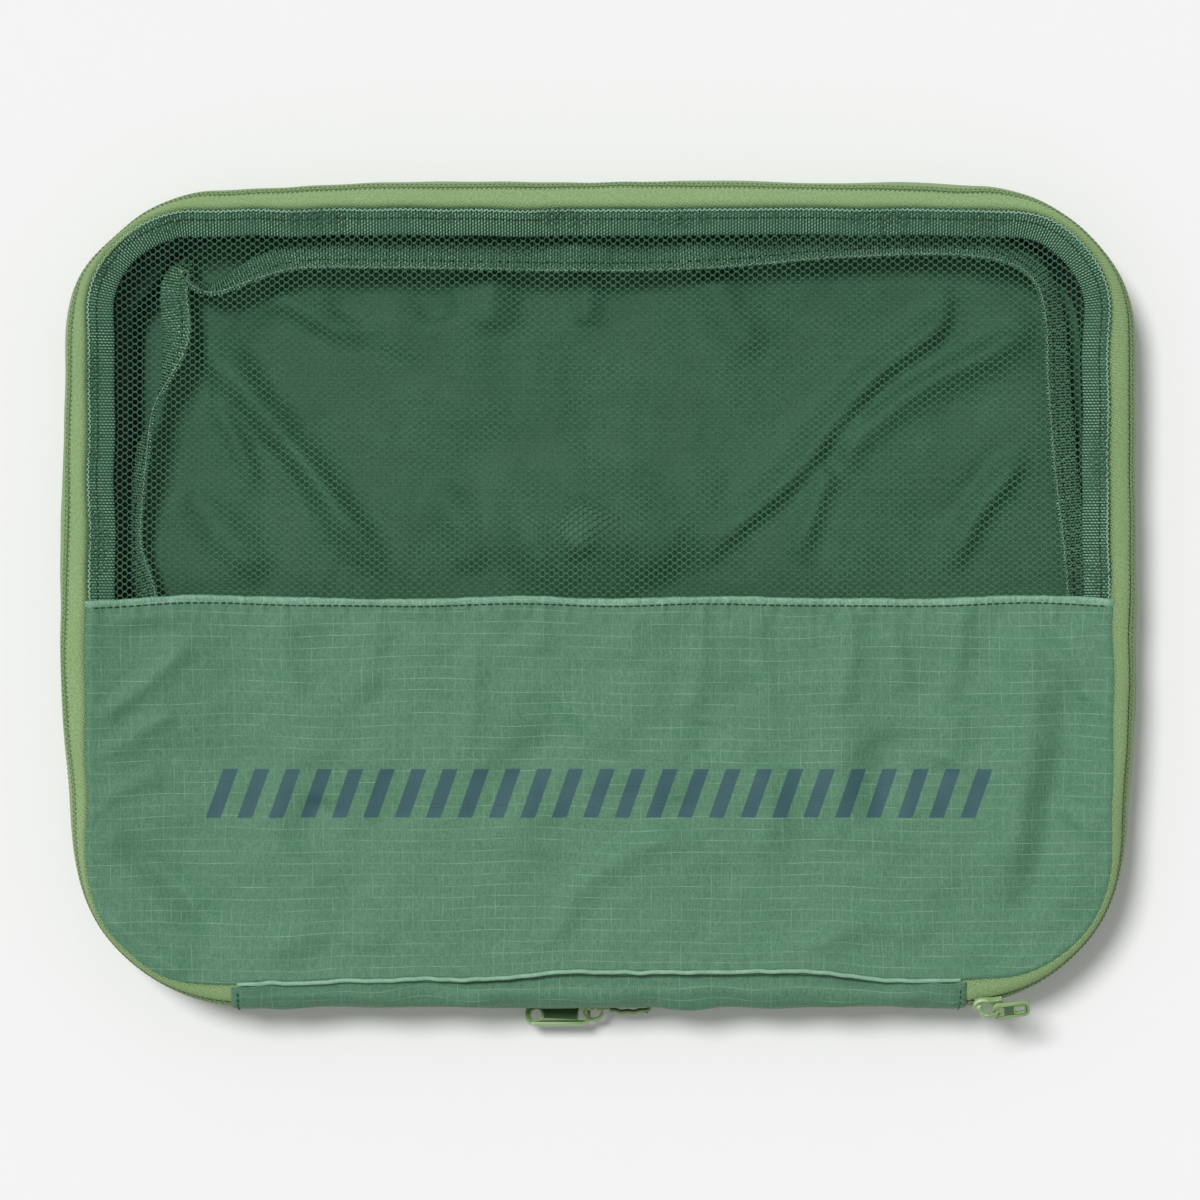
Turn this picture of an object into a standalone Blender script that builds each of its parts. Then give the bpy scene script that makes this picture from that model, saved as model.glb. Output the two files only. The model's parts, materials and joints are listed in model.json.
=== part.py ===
"""Compression packing cube: a soft, zipped travel organiser, closed and compressed.

A flat back panel carries a side wall made of two zips. The lower, compression zip lets the wall
grow on a folded gusset. The upper, main zip opens the lid, which hinges on a fabric panel along
the front. The lid is half ripstop and half mesh. Lengths below are in millimetres.
"""

import math

import bmesh
import bpy
from mathutils import Matrix, Vector

MM = 0.001

# Side wall: plan outline at five levels from the lid seam down to the back seam, each given as
# (front corner radius, rear corner radius, height). All front corners share one centre.
FRONT_CORNER_X = 129.0
FRONT_CORNER_Y = 85.0
WALL_LEVELS = (
    (50.3, 36.0, 29.0),
    (58.2, 52.0, 24.5),
    (60.0, 60.0, 17.0),
    (59.6, 57.0, 9.0),
    (57.0, 54.0, 1.6),
)
LID_SEAM = 0.0
MAIN_CLOSURE = 1.0
MIDDLE_SEAM = 2.0
COMPRESSION_CLOSURE = 3.0
BACK_SEAM = 4.0

# The arcs of each corner: the first stretch of a front corner is where the main slider parks.
GARAGE_ANGLE = 26.0
CORNER_STEPS = 7
SIDE_STEPS = 2

FABRIC = 0.8
SEAM_GAP = 0.3
CLOSURE_GAP = 0.95
TAPE_ROWS = 3
COIL_RADIUS = 0.9
COIL_FROM_CLOSURE = 2.3
COIL_DEPTH = FABRIC + 0.5 + COIL_RADIUS
TAPE_END_DEPTH = 3.2

LID_TOP = 29.4
LID_THICKNESS = 1.0
PANEL_EDGE = 0.3
WINDOW_Y = -1.0
BINDING_WIDTH = 9.4
BINDING_THICKNESS = 1.0
BACK_THICKNESS = 0.8
BACK_EDGE_RADIUS = 56.2

GUSSET_OUTER_RADIUS = 52.6
GUSSET_THICKNESS = 2.2
GUSSET_BOTTOM = 2.6
GUSSET_HEIGHT = 13.0
BACK_BINDING_OUTER_RADIUS = 49.6
BACK_BINDING_BOTTOM = 1.2
BACK_BINDING_HEIGHT = 10.2
REAR_RADIUS_LESS = 2.6

# Zip sliders, in their own frame: +X towards the closed end, +Z away from the wall.
PLATE_LENGTH = 11.0
PLATE_WIDTH = 7.4
PLATE_THICKNESS = 1.0
PLATE_GAP = 0.6
INNER_PLATE_GAP = 1.0
INNER_PLATE_TOP = -(COIL_DEPTH + COIL_RADIUS + INNER_PLATE_GAP)
POST_LENGTH = 2.6
POST_WIDTH = 0.6
BRIDGE_LENGTH = 7.6
BRIDGE_WIDTH = 2.0
BRIDGE_HEIGHT = 4.9
BRIDGE_WINDOW_LENGTH = 5.4
BRIDGE_WINDOW_HEIGHT = 4.0
PULL_THICKNESS = 1.2
PULL_AXIS_X = -1.6
PULL_AXIS_Z = PLATE_GAP + PLATE_THICKNESS + 2.5
PULL_EYE_LENGTH = 6.0
PULL_EYE_WIDTH = 4.2

MAIN_SLIDER_ANGLE = -83.0
MAIN_PULL_LENGTH = 13.0
MAIN_PULL_WIDTH = 6.4
MAIN_PULL_HOLE = 2.8
COMPRESSION_SLIDER_X = -2.0
COMPRESSION_PULL_LENGTH = 23.0
COMPRESSION_PULL_WIDTH = 8.4
COMPRESSION_PULL_HOLE = 3.8
COMPRESSION_PULL_ROLL = 22.0
TAPE_TAB_LENGTH = 15.0
TAPE_TAB_HEIGHT = 6.0
TAPE_TAB_START = 5.5

COLOURS = {
    "ripstop": (0.11, 0.25, 0.16),
    "mesh": (0.03, 0.09, 0.05),
    "zip_tape": (0.22, 0.33, 0.14),
    "zip_coil": (0.16, 0.26, 0.10),
    "binding": (0.05, 0.13, 0.08),
    "painted_metal": (0.30, 0.45, 0.20),
}


def clear_scene():
    for thing in list(bpy.data.objects):
        bpy.data.objects.remove(thing, do_unlink=True)


def collection(name):
    found = bpy.data.collections.new(name)
    bpy.context.scene.collection.children.link(found)
    return found


def material(name):
    made = bpy.data.materials.get(name)
    if made is None:
        made = bpy.data.materials.new(name)
        made.use_nodes = True
        shader = made.node_tree.nodes["Principled BSDF"]
        shader.inputs["Base Color"].default_value = (*COLOURS[name], 1.0)
        shader.inputs["Roughness"].default_value = 0.35 if name == "painted_metal" else 0.85
    return made


def add_object(name, data, slot):
    made = bpy.data.objects.new(name, data)
    PARTS.objects.link(made)
    data.materials.append(material(slot))
    return made


def mesh_object(name, bm, slot):
    data = bpy.data.meshes.new(name)
    bm.to_mesh(data)
    bm.free()
    return add_object(name, data, slot)


def smooth_value(values, place):
    """Catmull-Rom through values at whole places, and its slope."""
    low = min(int(place), len(values) - 2)
    t = place - low
    before = values[low - 1] if low else 2 * values[0] - values[1]
    after = values[low + 2] if low + 2 < len(values) else 2 * values[-1] - values[-2]
    a = 0.5 * (values[low + 1] - before)
    b = 0.5 * (after - values[low])
    rise = values[low + 1] - values[low]
    value = values[low] + t * (a + t * (3 * rise - 2 * a - b + t * (a + b - 2 * rise)))
    slope = a + t * (2 * (3 * rise - 2 * a - b) + 3 * t * (a + b - 2 * rise))
    return value, slope


def section(level, inward=0.0):
    """(front radius, rear radius, height) of the wall at a level, moved inward off its face."""
    front, front_slope = smooth_value([row[0] for row in WALL_LEVELS], level)
    rear = smooth_value([row[1] for row in WALL_LEVELS], level)[0]
    height, fall = smooth_value([row[2] for row in WALL_LEVELS], level)
    size = math.hypot(front_slope, fall)
    out, up = -fall / size, front_slope / size
    return front - inward * out, rear - inward * out, height - inward * up


def level_at(level, distance):
    """The level that lies a distance down the wall from a given one."""
    front_slope = smooth_value([row[0] for row in WALL_LEVELS], level)[1]
    fall = smooth_value([row[2] for row in WALL_LEVELS], level)[1]
    return level + distance / math.hypot(front_slope, fall)


def arc(centre_x, centre_y, radius, angles):
    return [
        (
            centre_x + radius * math.cos(math.radians(angle)),
            centre_y + radius * math.sin(math.radians(angle)),
        )
        for angle in angles
    ]


def steps_between(first, last, count):
    return [first + (last - first) * step / count for step in range(count + 1)]


def parking_angles(margin):
    """The angles of a front corner's first stretch, with a margin left off each end."""
    last = GARAGE_ANGLE - 90.0
    middle = 0.5 * (MAIN_SLIDER_ANGLE + last)
    return [margin - 90.0, MAIN_SLIDER_ANGLE, middle, last - margin]


def run(shape, parked=False):
    """The plan outline from the right front corner round the back to the left front corner.

    parked leaves out both stretches where the main slider parks.
    """
    front, rear, _ = shape
    half_x = FRONT_CORNER_X + front
    half_y = FRONT_CORNER_Y + front
    corner_x = half_x - rear
    corner_y = half_y - rear
    turn = [GARAGE_ANGLE - 90, *steps_between(GARAGE_ANGLE - 90, 0, CORNER_STEPS - 1)[1:]]
    if not parked:
        turn = [*parking_angles(0.0)[:-1], *turn]
    right = arc(FRONT_CORNER_X, -FRONT_CORNER_Y, front, turn)
    side = steps_between(-FRONT_CORNER_Y, corner_y, SIDE_STEPS)[1:-1]
    right += [(half_x, y) for y in side]
    right += arc(corner_x, corner_y, rear, steps_between(0, 90, CORNER_STEPS))
    left = [(-x, y) for x, y in reversed(right)]
    return right + left


def front_run(reach):
    """Places along the straight front, from left to right."""
    return steps_between(-reach, reach, 2)


def at_height(points, height):
    return [Vector((x * MM, y * MM, height * MM)) for x, y in points]


def strip(name, rows, slot, ring):
    """A fabric strip lofted through rows of points, thickened inward."""
    bm = bmesh.new()
    lattice = [[bm.verts.new(point) for point in row] for row in rows]
    for upper, lower in zip(lattice, lattice[1:]):
        count = len(upper)
        for here in range(count if ring else count - 1):
            there = (here + 1) % count
            bm.faces.new((upper[here], lower[here], lower[there], upper[there]))
    made = mesh_object(name, bm, slot)
    shell = made.modifiers.new("Cloth thickness", "SOLIDIFY")
    shell.thickness = FABRIC * MM
    shell.offset = -1.0
    shell.use_even_offset = True
    return made


def tape(name, top, bottom, slot="zip_tape", ring=False, parked=False):
    rows = []
    for level in steps_between(top, bottom, TAPE_ROWS - 1):
        shape = section(level)
        rows.append(at_height(run(shape, parked), shape[2]))
    return strip(name, rows, slot, ring)


def coil(name, level, ring=False, parked=False):
    shape = section(level, COIL_DEPTH)
    points = at_height(run(shape, parked), shape[2])
    curve = bpy.data.curves.new(name, "CURVE")
    curve.dimensions = "3D"
    spline = curve.splines.new("POLY")
    spline.points.add(len(points) - 1)
    for place, point in zip(spline.points, points):
        place.co = (*point, 1.0)
    spline.use_cyclic_u = ring
    curve.bevel_depth = COIL_RADIUS * MM
    curve.bevel_resolution = 1
    curve.use_fill_caps = True
    return add_object(name, curve, "zip_coil")


def flat_piece(name, outlines, low, high, slot):
    """A flat piece between two heights: the first outline is its edge, the others are holes."""
    curve = bpy.data.curves.new(name, "CURVE")
    curve.dimensions = "2D"
    curve.fill_mode = "BOTH"
    curve.extrude = 0.5 * (high - low) * MM
    for outline in outlines:
        spline = curve.splines.new("POLY")
        spline.points.add(len(outline) - 1)
        for place, (x, y) in zip(spline.points, outline):
            place.co = (x * MM, y * MM, 0.0, 1.0)
        spline.use_cyclic_u = True
    made = add_object(name, curve, slot)
    made.location.z = 0.5 * (low + high) * MM
    return made


def side_walls():
    """The two zips' tapes, which are the side wall itself."""
    tape("main_zip_upper_tape", level_at(LID_SEAM, SEAM_GAP),
         level_at(MAIN_CLOSURE, -CLOSURE_GAP), parked=True)
    tape("main_zip_lower_tape", level_at(MAIN_CLOSURE, CLOSURE_GAP),
         level_at(MIDDLE_SEAM, -SEAM_GAP))
    tape("compression_zip_upper_tape", level_at(MIDDLE_SEAM, SEAM_GAP),
         level_at(COMPRESSION_CLOSURE, -CLOSURE_GAP), ring=True)
    tape("compression_zip_lower_tape", level_at(COMPRESSION_CLOSURE, CLOSURE_GAP),
         level_at(BACK_SEAM, -SEAM_GAP), ring=True)


def zip_coils():
    coil("main_zip_upper_coil", level_at(MAIN_CLOSURE, -COIL_FROM_CLOSURE), parked=True)
    coil("main_zip_lower_coil", level_at(MAIN_CLOSURE, COIL_FROM_CLOSURE))
    coil("compression_zip_upper_coil",
         level_at(COMPRESSION_CLOSURE, -COIL_FROM_CLOSURE), ring=True)
    coil("compression_zip_lower_coil",
         level_at(COMPRESSION_CLOSURE, COIL_FROM_CLOSURE), ring=True)


def tape_ends():
    """The last stretch of the upper tape at each end, sewn to the hinge panel and never opened."""
    top = level_at(MAIN_CLOSURE, -TAPE_END_DEPTH)
    bottom = level_at(MAIN_CLOSURE, -CLOSURE_GAP)
    margin = math.degrees(SEAM_GAP / WALL_LEVELS[1][0])
    angles = parking_angles(margin)
    for name, side in (("main_zip_right_end", 1), ("main_zip_left_end", -1)):
        rows = []
        for level in (top, bottom):
            front, _, height = section(level)
            points = arc(FRONT_CORNER_X, -FRONT_CORNER_Y, front, angles)
            points = [(side * x, y) for x, y in points[::side]]
            rows.append(at_height(points, height))
        strip(name, rows, "zip_tape", ring=False)


def hinge_panel():
    """The fabric hinge along the front, split at its fold into the half on each body."""
    reach = FRONT_CORNER_X - SEAM_GAP
    halves = (
        ("hinge_panel_upper", level_at(LID_SEAM, SEAM_GAP), level_at(MAIN_CLOSURE, -SEAM_GAP)),
        ("hinge_panel_lower", level_at(MAIN_CLOSURE, SEAM_GAP),
         level_at(MIDDLE_SEAM, -SEAM_GAP)),
    )
    for name, top, bottom in halves:
        rows = []
        for level in steps_between(top, bottom, TAPE_ROWS - 1):
            front, _, height = section(level)
            y = -(FRONT_CORNER_Y + front)
            rows.append(at_height([(x, y) for x in front_run(reach)], height))
        strip(name, rows, "ripstop", ring=False)


def lid_panels():
    """The ripstop front half and the mesh rear half of the lid, meeting at the hemmed edge."""
    shape = (WALL_LEVELS[0][0] - PANEL_EDGE, WALL_LEVELS[0][1] - PANEL_EDGE, LID_TOP)
    outline = run(shape)
    half_x = FRONT_CORNER_X + shape[0]
    hem = WINDOW_Y - 0.5 * SEAM_GAP
    edge = WINDOW_Y + 0.5 * SEAM_GAP
    front = [point for point in outline if point[1] < hem - 1.0]
    rear = [point for point in outline if point[1] > edge + 1.0]
    turn = sum(1 for point in front if point[0] > 0)
    front = [*front[:turn], (half_x, hem), (-half_x, hem), *front[turn:]]
    rear = [(half_x, edge), *rear, (-half_x, edge)]
    low = LID_TOP - LID_THICKNESS
    flat_piece("lid_panel", [front], low, LID_TOP, "ripstop")
    flat_piece("mesh_window", [rear], low, LID_TOP, "mesh")


def band(name, outer, rear, width, low, high):
    """A closed flat ring, used for the seam bindings and the folded gusset."""
    outlines = [run((outer, rear, low)), run((outer - width, rear - width, low))]
    return flat_piece(name, outlines, low, high, "binding")


def bindings_and_gusset():
    top = LID_TOP - LID_THICKNESS - SEAM_GAP
    band("lid_seam_binding", WALL_LEVELS[0][0] - 2 * PANEL_EDGE,
         WALL_LEVELS[0][1] - 2 * PANEL_EDGE, BINDING_WIDTH, top - BINDING_THICKNESS, top)
    band("back_seam_binding", BACK_BINDING_OUTER_RADIUS,
         BACK_BINDING_OUTER_RADIUS - REAR_RADIUS_LESS, BINDING_THICKNESS,
         BACK_BINDING_BOTTOM, BACK_BINDING_BOTTOM + BACK_BINDING_HEIGHT)
    band("expansion_gusset", GUSSET_OUTER_RADIUS, GUSSET_OUTER_RADIUS - REAR_RADIUS_LESS,
         GUSSET_THICKNESS, GUSSET_BOTTOM, GUSSET_BOTTOM + GUSSET_HEIGHT)


def back_panel():
    shape = (BACK_EDGE_RADIUS, BACK_EDGE_RADIUS - REAR_RADIUS_LESS, 0.0)
    flat_piece("back_panel", [run(shape)], 0.0, BACK_THICKNESS, "ripstop")


def block(name, low, high, group):
    """A box between two corners, in millimetres."""
    bm = bmesh.new()
    bmesh.ops.create_cube(bm, size=1.0)
    size = [(b - a) * MM for a, b in zip(low, high)]
    centre = [0.5 * (a + b) * MM for a, b in zip(low, high)]
    bmesh.ops.scale(bm, vec=size, verts=bm.verts)
    bmesh.ops.translate(bm, vec=centre, verts=bm.verts)
    data = bpy.data.meshes.new(name)
    bm.to_mesh(data)
    bm.free()
    made = bpy.data.objects.new(name, data)
    group.objects.link(made)
    return made


def combine(target, other, operation):
    cut = target.modifiers.new(other.name, "BOOLEAN")
    cut.operation = operation
    cut.object = other
    other.hide_render = True
    other.display_type = "WIRE"


def slider(name, place):
    """One cast slider: outer plate, bridge for the pull, and the post down to the inner plate."""
    half_x = 0.5 * PLATE_LENGTH
    half_y = 0.5 * PLATE_WIDTH
    top = PLATE_GAP + PLATE_THICKNESS
    floor = INNER_PLATE_TOP - PLATE_THICKNESS
    body = block(name, (-half_x, -half_y, PLATE_GAP), (half_x, half_y, top), PARTS)
    body.data.materials.append(material("painted_metal"))
    inner = block(name + "_inner", (-half_x + 0.5, -half_y + 0.4, floor),
                  (half_x - 0.5, half_y - 0.4, INNER_PLATE_TOP), CUTTERS)
    post = block(name + "_post", (half_x - 1.0 - POST_LENGTH, -0.5 * POST_WIDTH, floor + 0.2),
                 (half_x - 1.0, 0.5 * POST_WIDTH, top - 0.2), CUTTERS)
    bridge = block(name + "_bridge", (-0.5 * BRIDGE_LENGTH, -0.5 * BRIDGE_WIDTH, top - 0.5),
                   (0.5 * BRIDGE_LENGTH, 0.5 * BRIDGE_WIDTH, top + BRIDGE_HEIGHT), CUTTERS)
    window = block(name + "_window", (-0.5 * BRIDGE_WINDOW_LENGTH, -BRIDGE_WIDTH, top),
                   (0.5 * BRIDGE_WINDOW_LENGTH, BRIDGE_WIDTH, top + BRIDGE_WINDOW_HEIGHT),
                   CUTTERS)
    combine(bridge, window, "DIFFERENCE")
    for piece in (inner, post, bridge):
        combine(body, piece, "UNION")
    for thing in (body, inner, post, bridge, window):
        thing.matrix_world = place
    return body


def pull_tab(name, length, width, hole, place):
    """A flat pull whose end bar lies under the bridge; its origin is on the bar's axis."""
    half = 0.5 * width
    bar = 0.5 * PULL_THICKNESS
    corner = 0.45 * width
    angles = steps_between(90, 180, 4)
    upper = arc(corner - length + bar, half - corner, corner, angles)
    edge = [(bar, half), *upper, *[(x, -y) for x, y in reversed(upper)], (bar, -half)]
    eye_x = -bar - PULL_EYE_LENGTH
    eye_y = 0.5 * PULL_EYE_WIDTH
    eye = [(-bar, -eye_y), (-bar, eye_y), (eye_x, eye_y), (eye_x, -eye_y)]
    hole_x = bar - length + 0.5 * hole + 1.2
    ring = arc(hole_x, 0.0, 0.5 * hole, steps_between(0, 360, 12)[:-1])
    made = flat_piece(name, [edge, eye, ring], -bar, bar, "painted_metal")
    made.matrix_world = place
    return made


def zip_frame(direction, outward, point):
    """A frame on the zip line: X along the zip, Z away from the wall."""
    along = Vector(direction).normalized()
    away = Vector(outward).normalized()
    across = away.cross(along)
    turn = Matrix((along, across, away)).transposed().to_4x4()
    return Matrix.Translation(Vector(point) * MM) @ turn


def wall_place(level, angle):
    """Point, outward direction and direction towards -X at a place on the front of the wall."""
    front, _, height = section(level)
    further, _, higher = section(level, -1.0)
    out, up = further - front, higher - height
    side = Vector((math.cos(math.radians(angle)), math.sin(math.radians(angle)), 0.0))
    outward = side * out + Vector((0.0, 0.0, up))
    point = Vector((FRONT_CORNER_X, -FRONT_CORNER_Y, 0.0)) + side * front
    point.z = height
    leftwards = Vector((side.y, -side.x, 0.0))
    return point, outward, leftwards


def main_slider():
    point, outward, leftwards = wall_place(MAIN_CLOSURE, MAIN_SLIDER_ANGLE)
    place = zip_frame(leftwards, outward, point)
    slider("main_slider", place)
    pivot = Matrix.Translation(Vector((PULL_AXIS_X, 0.0, PULL_AXIS_Z)) * MM)
    pull_tab("main_pull", MAIN_PULL_LENGTH, MAIN_PULL_WIDTH, MAIN_PULL_HOLE, place @ pivot)


def compression_slider():
    point, outward, leftwards = wall_place(COMPRESSION_CLOSURE, -90.0)
    point.x = COMPRESSION_SLIDER_X
    place = zip_frame(-leftwards, outward, point)
    slider("compression_slider", place)
    pivot = Matrix.Translation(Vector((PULL_AXIS_X, 0.0, PULL_AXIS_Z)) * MM)
    roll = Matrix.Rotation(math.radians(-COMPRESSION_PULL_ROLL), 4, "X")
    pull_tab("compression_pull", COMPRESSION_PULL_LENGTH, COMPRESSION_PULL_WIDTH,
             COMPRESSION_PULL_HOLE, place @ pivot @ roll)


def tape_tab():
    """The folded tape end that stands out beside the parked compression slider."""
    start = COMPRESSION_SLIDER_X + TAPE_TAB_START
    rows = []
    half = 0.5 * TAPE_TAB_HEIGHT
    for offset in (-half, half):
        front, _, height = section(level_at(COMPRESSION_CLOSURE, offset), -PLATE_GAP - FABRIC)
        y = -(FRONT_CORNER_Y + front)
        points = [(x, y) for x in steps_between(start, start + TAPE_TAB_LENGTH, 3)]
        rows.append(at_height(points, height))
    strip("compression_tape_tab", rows, "zip_tape", ring=False)


clear_scene()
PARTS = collection("packing_cube")
CUTTERS = collection("cutters")
back_panel()
side_walls()
zip_coils()
tape_ends()
hinge_panel()
lid_panels()
bindings_and_gusset()
main_slider()
compression_slider()
tape_tab()
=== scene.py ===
"""Looks of the packing cube: soft sheets, zips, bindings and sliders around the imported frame.

Lengths are in millimetres until they reach Blender. The cube's plan is a rounded rectangle whose
half sizes come from the frame; every strip of the side wall is a loft of that plan.
"""

import json
import math

import bmesh
import bpy
import numpy as np
from mathutils import Matrix, Vector


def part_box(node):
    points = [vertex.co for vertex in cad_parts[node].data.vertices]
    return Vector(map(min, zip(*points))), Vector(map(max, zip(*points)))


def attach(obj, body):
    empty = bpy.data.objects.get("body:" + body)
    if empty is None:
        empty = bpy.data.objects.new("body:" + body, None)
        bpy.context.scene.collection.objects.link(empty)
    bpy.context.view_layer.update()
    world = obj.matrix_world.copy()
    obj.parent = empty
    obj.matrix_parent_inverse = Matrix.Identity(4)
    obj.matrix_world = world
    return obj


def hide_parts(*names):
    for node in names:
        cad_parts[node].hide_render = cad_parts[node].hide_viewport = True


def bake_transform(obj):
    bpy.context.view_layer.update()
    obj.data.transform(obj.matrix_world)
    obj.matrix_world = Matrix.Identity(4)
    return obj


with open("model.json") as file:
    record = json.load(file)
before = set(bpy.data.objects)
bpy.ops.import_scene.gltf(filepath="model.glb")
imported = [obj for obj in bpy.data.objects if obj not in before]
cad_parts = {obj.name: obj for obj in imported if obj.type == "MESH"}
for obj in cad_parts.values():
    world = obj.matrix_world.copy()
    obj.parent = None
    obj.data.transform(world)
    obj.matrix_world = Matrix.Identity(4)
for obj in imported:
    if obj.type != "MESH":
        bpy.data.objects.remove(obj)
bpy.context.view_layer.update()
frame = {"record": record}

MM = 0.001


# ---------------------------------------------------------------- places, read from the frame

def box_mm(node):
    low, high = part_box(node)
    return np.array(low) / MM, np.array(high) / MM


_, LID_HIGH = box_mm("mesh_window")
_, WALL_HIGH = box_mm("compression_zip_upper_tape")
_, HINGE_HIGH = box_mm("hinge_panel_upper")
PANEL_LOW, PANEL_HIGH = box_mm("lid_panel")

# The visible seams lie a little off the nodes' own edges.
SEAM_X = LID_HIGH[0] + 0.4
SEAM_Y = LID_HIGH[1] + 0.2
WALL_X = WALL_HIGH[0] - 0.1
WALL_Y = WALL_HIGH[1] - 0.2
SEAM_Z = LID_HIGH[2]
WINDOW_EDGE = PANEL_HIGH[1]
HINGE_S = HINGE_HIGH[0] - 0.5

# Wall levels, from the lid seam down: (half x, half y, front radius, rear radius, height).
LEVELS = np.array((
    (SEAM_X, SEAM_Y, 42.0, 37.0, SEAM_Z),
    (SEAM_X + 7.0, SEAM_Y + 7.5, 61.0, 49.0, SEAM_Z - 3.7),
    (WALL_X, WALL_Y, 66.0, 54.0, 17.0),
    (WALL_X - 0.4, WALL_Y - 0.4, 64.0, 53.0, 9.0),
    (WALL_X - 3.0, WALL_Y - 3.0, 60.0, 50.0, 1.4),
))
SEAM, CLOSURE, MIDDLE, PRESS, BOTTOM = range(5)


# ---------------------------------------------------------------- small helpers

def random_of(seed):
    return np.random.default_rng(seed)


def waves(x, y, length, seed, count=9):
    """Smooth noise of about unit size: sines of nearly one wavelength in mixed directions."""
    rng = random_of(seed)
    total = np.zeros_like(np.asarray(x, float) + np.asarray(y, float))
    for _ in range(count):
        turn, phase = rng.uniform(0, 2 * math.pi, 2)
        reach = length * rng.uniform(0.7, 1.5)
        along = x * math.cos(turn) + y * math.sin(turn)
        total += np.sin(2 * math.pi * along / reach + phase)
    return total / math.sqrt(count / 2)


def soft_step(value, low, high):
    t = np.clip((value - low) / (high - low), 0.0, 1.0)
    return t * t * (3 - 2 * t)


def rounded_edge(x, y, half_x, half_y, front, rear):
    """Distance inside a rounded rectangle, positive inside, front corners at -Y."""
    radius = np.where(y > 0, rear, front)
    dx = np.abs(x) - (half_x - radius)
    dy = np.abs(y) - (half_y - radius)
    outside = np.hypot(np.maximum(dx, 0), np.maximum(dy, 0))
    return radius - outside - np.minimum(np.maximum(dx, dy), 0)


def fold(x, y, points, width, height, lean=0.0):
    """A soft ridge along a smooth line through points, fading at both ends."""
    line = np.array(points, float)
    fine = smooth_line(line, 12)
    best = np.full(np.shape(x), 1e9)
    place = np.zeros(np.shape(x))
    side = np.zeros(np.shape(x))
    count = len(fine) - 1
    for index in range(count):
        a, b = fine[index], fine[index + 1]
        d = b - a
        t = np.clip(((x - a[0]) * d[0] + (y - a[1]) * d[1]) / (d @ d), 0, 1)
        px, py = x - a[0] - t * d[0], y - a[1] - t * d[1]
        distance = np.hypot(px, py)
        near = distance < best
        best = np.where(near, distance, best)
        place = np.where(near, (index + t) / count, place)
        side = np.where(near, np.sign(d[0] * py - d[1] * px), side)
    fade = soft_step(place, 0, 0.2) * (1 - soft_step(place, 0.75, 1.0))
    reach = width * (1 + lean * side)
    return height * fade * np.exp(-(best / reach) ** 2)


def smooth_line(points, steps):
    """Catmull-Rom through points."""
    padded = np.vstack((2 * points[0] - points[1], points, 2 * points[-1] - points[-2]))
    result = []
    for index in range(1, len(padded) - 2):
        p0, p1, p2, p3 = padded[index - 1:index + 3]
        for step in range(steps):
            t = step / steps
            result.append(0.5 * (2 * p1 + (p2 - p0) * t + (2 * p0 - 5 * p1 + 4 * p2 - p3) * t * t
                                 + (3 * p1 - p0 - 3 * p2 + p3) * t ** 3))
    result.append(points[-1])
    return np.array(result)


def unit(rows):
    return rows / np.linalg.norm(rows, axis=-1, keepdims=True)


def lengths_along(points):
    steps = np.linalg.norm(np.diff(points, axis=0), axis=1)
    return np.concatenate(((0.0,), np.cumsum(steps)))


def along_line(places, travelled, rows):
    """Rows (n, 3) read at new places along their line."""
    return np.stack([np.interp(places, travelled, rows[:, k]) for k in range(3)], 1)


def ring(reach_x, reach_y, count, centre_x=0.0):
    """An ellipse of points, counter-clockwise from +X."""
    turn = np.arange(count) * 2 * math.pi / count
    return np.column_stack((centre_x + reach_x * np.cos(turn), reach_y * np.sin(turn)))


# ---------------------------------------------------------------- the plan and the side wall

def half_breaks(shape):
    """Places along half the plan that every level shares: front, side and rear."""
    half_x, half_y, front, rear, _ = shape
    ahead = half_x - front + front * 0.5 * math.pi
    side = ahead + half_y - front
    total = side + half_y - rear + rear * 0.5 * math.pi + half_x - rear
    return np.array((0.0, SHARED_FRONT, side, total - SHARED_REAR, total))


def half_path(shape, place):
    """Points and outward directions of the right half, from the front centre to the rear centre."""
    half_x, half_y, front, rear, _ = shape
    flat = half_x - front
    side = flat + front * 0.5 * math.pi
    turn = side + 2 * half_y - front - rear
    last = turn + rear * 0.5 * math.pi
    first = np.clip((place - flat) / front, 0, 0.5 * math.pi)
    second = np.clip((place - turn) / rear, 0, 0.5 * math.pi)
    x = np.minimum(place, flat) + front * np.sin(first) - rear * (1 - np.cos(second))
    x = x - np.maximum(place - last, 0)
    y = front * (1 - np.cos(first)) - half_y + np.clip(place - side, 0, turn - side)
    y = y + rear * np.sin(second)
    angle = first + second - 0.5 * math.pi
    return np.stack((x, y), 1), np.stack((np.cos(angle), np.sin(angle)), 1)


SHARED_FRONT = min(shape[0] - shape[2] for shape in LEVELS)
SHARED_REAR = min(shape[0] - shape[3] for shape in LEVELS)


class Plan:
    """The rounded rectangle's outline, sampled at places that every level shares."""

    def __init__(self, spacing):
        self.breaks = half_breaks(LEVELS[CLOSURE])
        half = self.breaks[-1]
        self.right = np.linspace(0, half, round(half / spacing) + 1)
        self.length = 2 * half
        self.s = np.concatenate((self.right, self.length - self.right[-2:0:-1]))

    def at(self, shape):
        """Plan points (n, 2) of one level, and the outward direction at each."""
        place = np.interp(self.right, self.breaks, half_breaks(shape))
        points, normals = half_path(shape, place)
        left = np.array((-1.0, 1.0))
        return (np.concatenate((points, points[-2:0:-1] * left)),
                np.concatenate((normals, normals[-2:0:-1] * left)))


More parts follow.
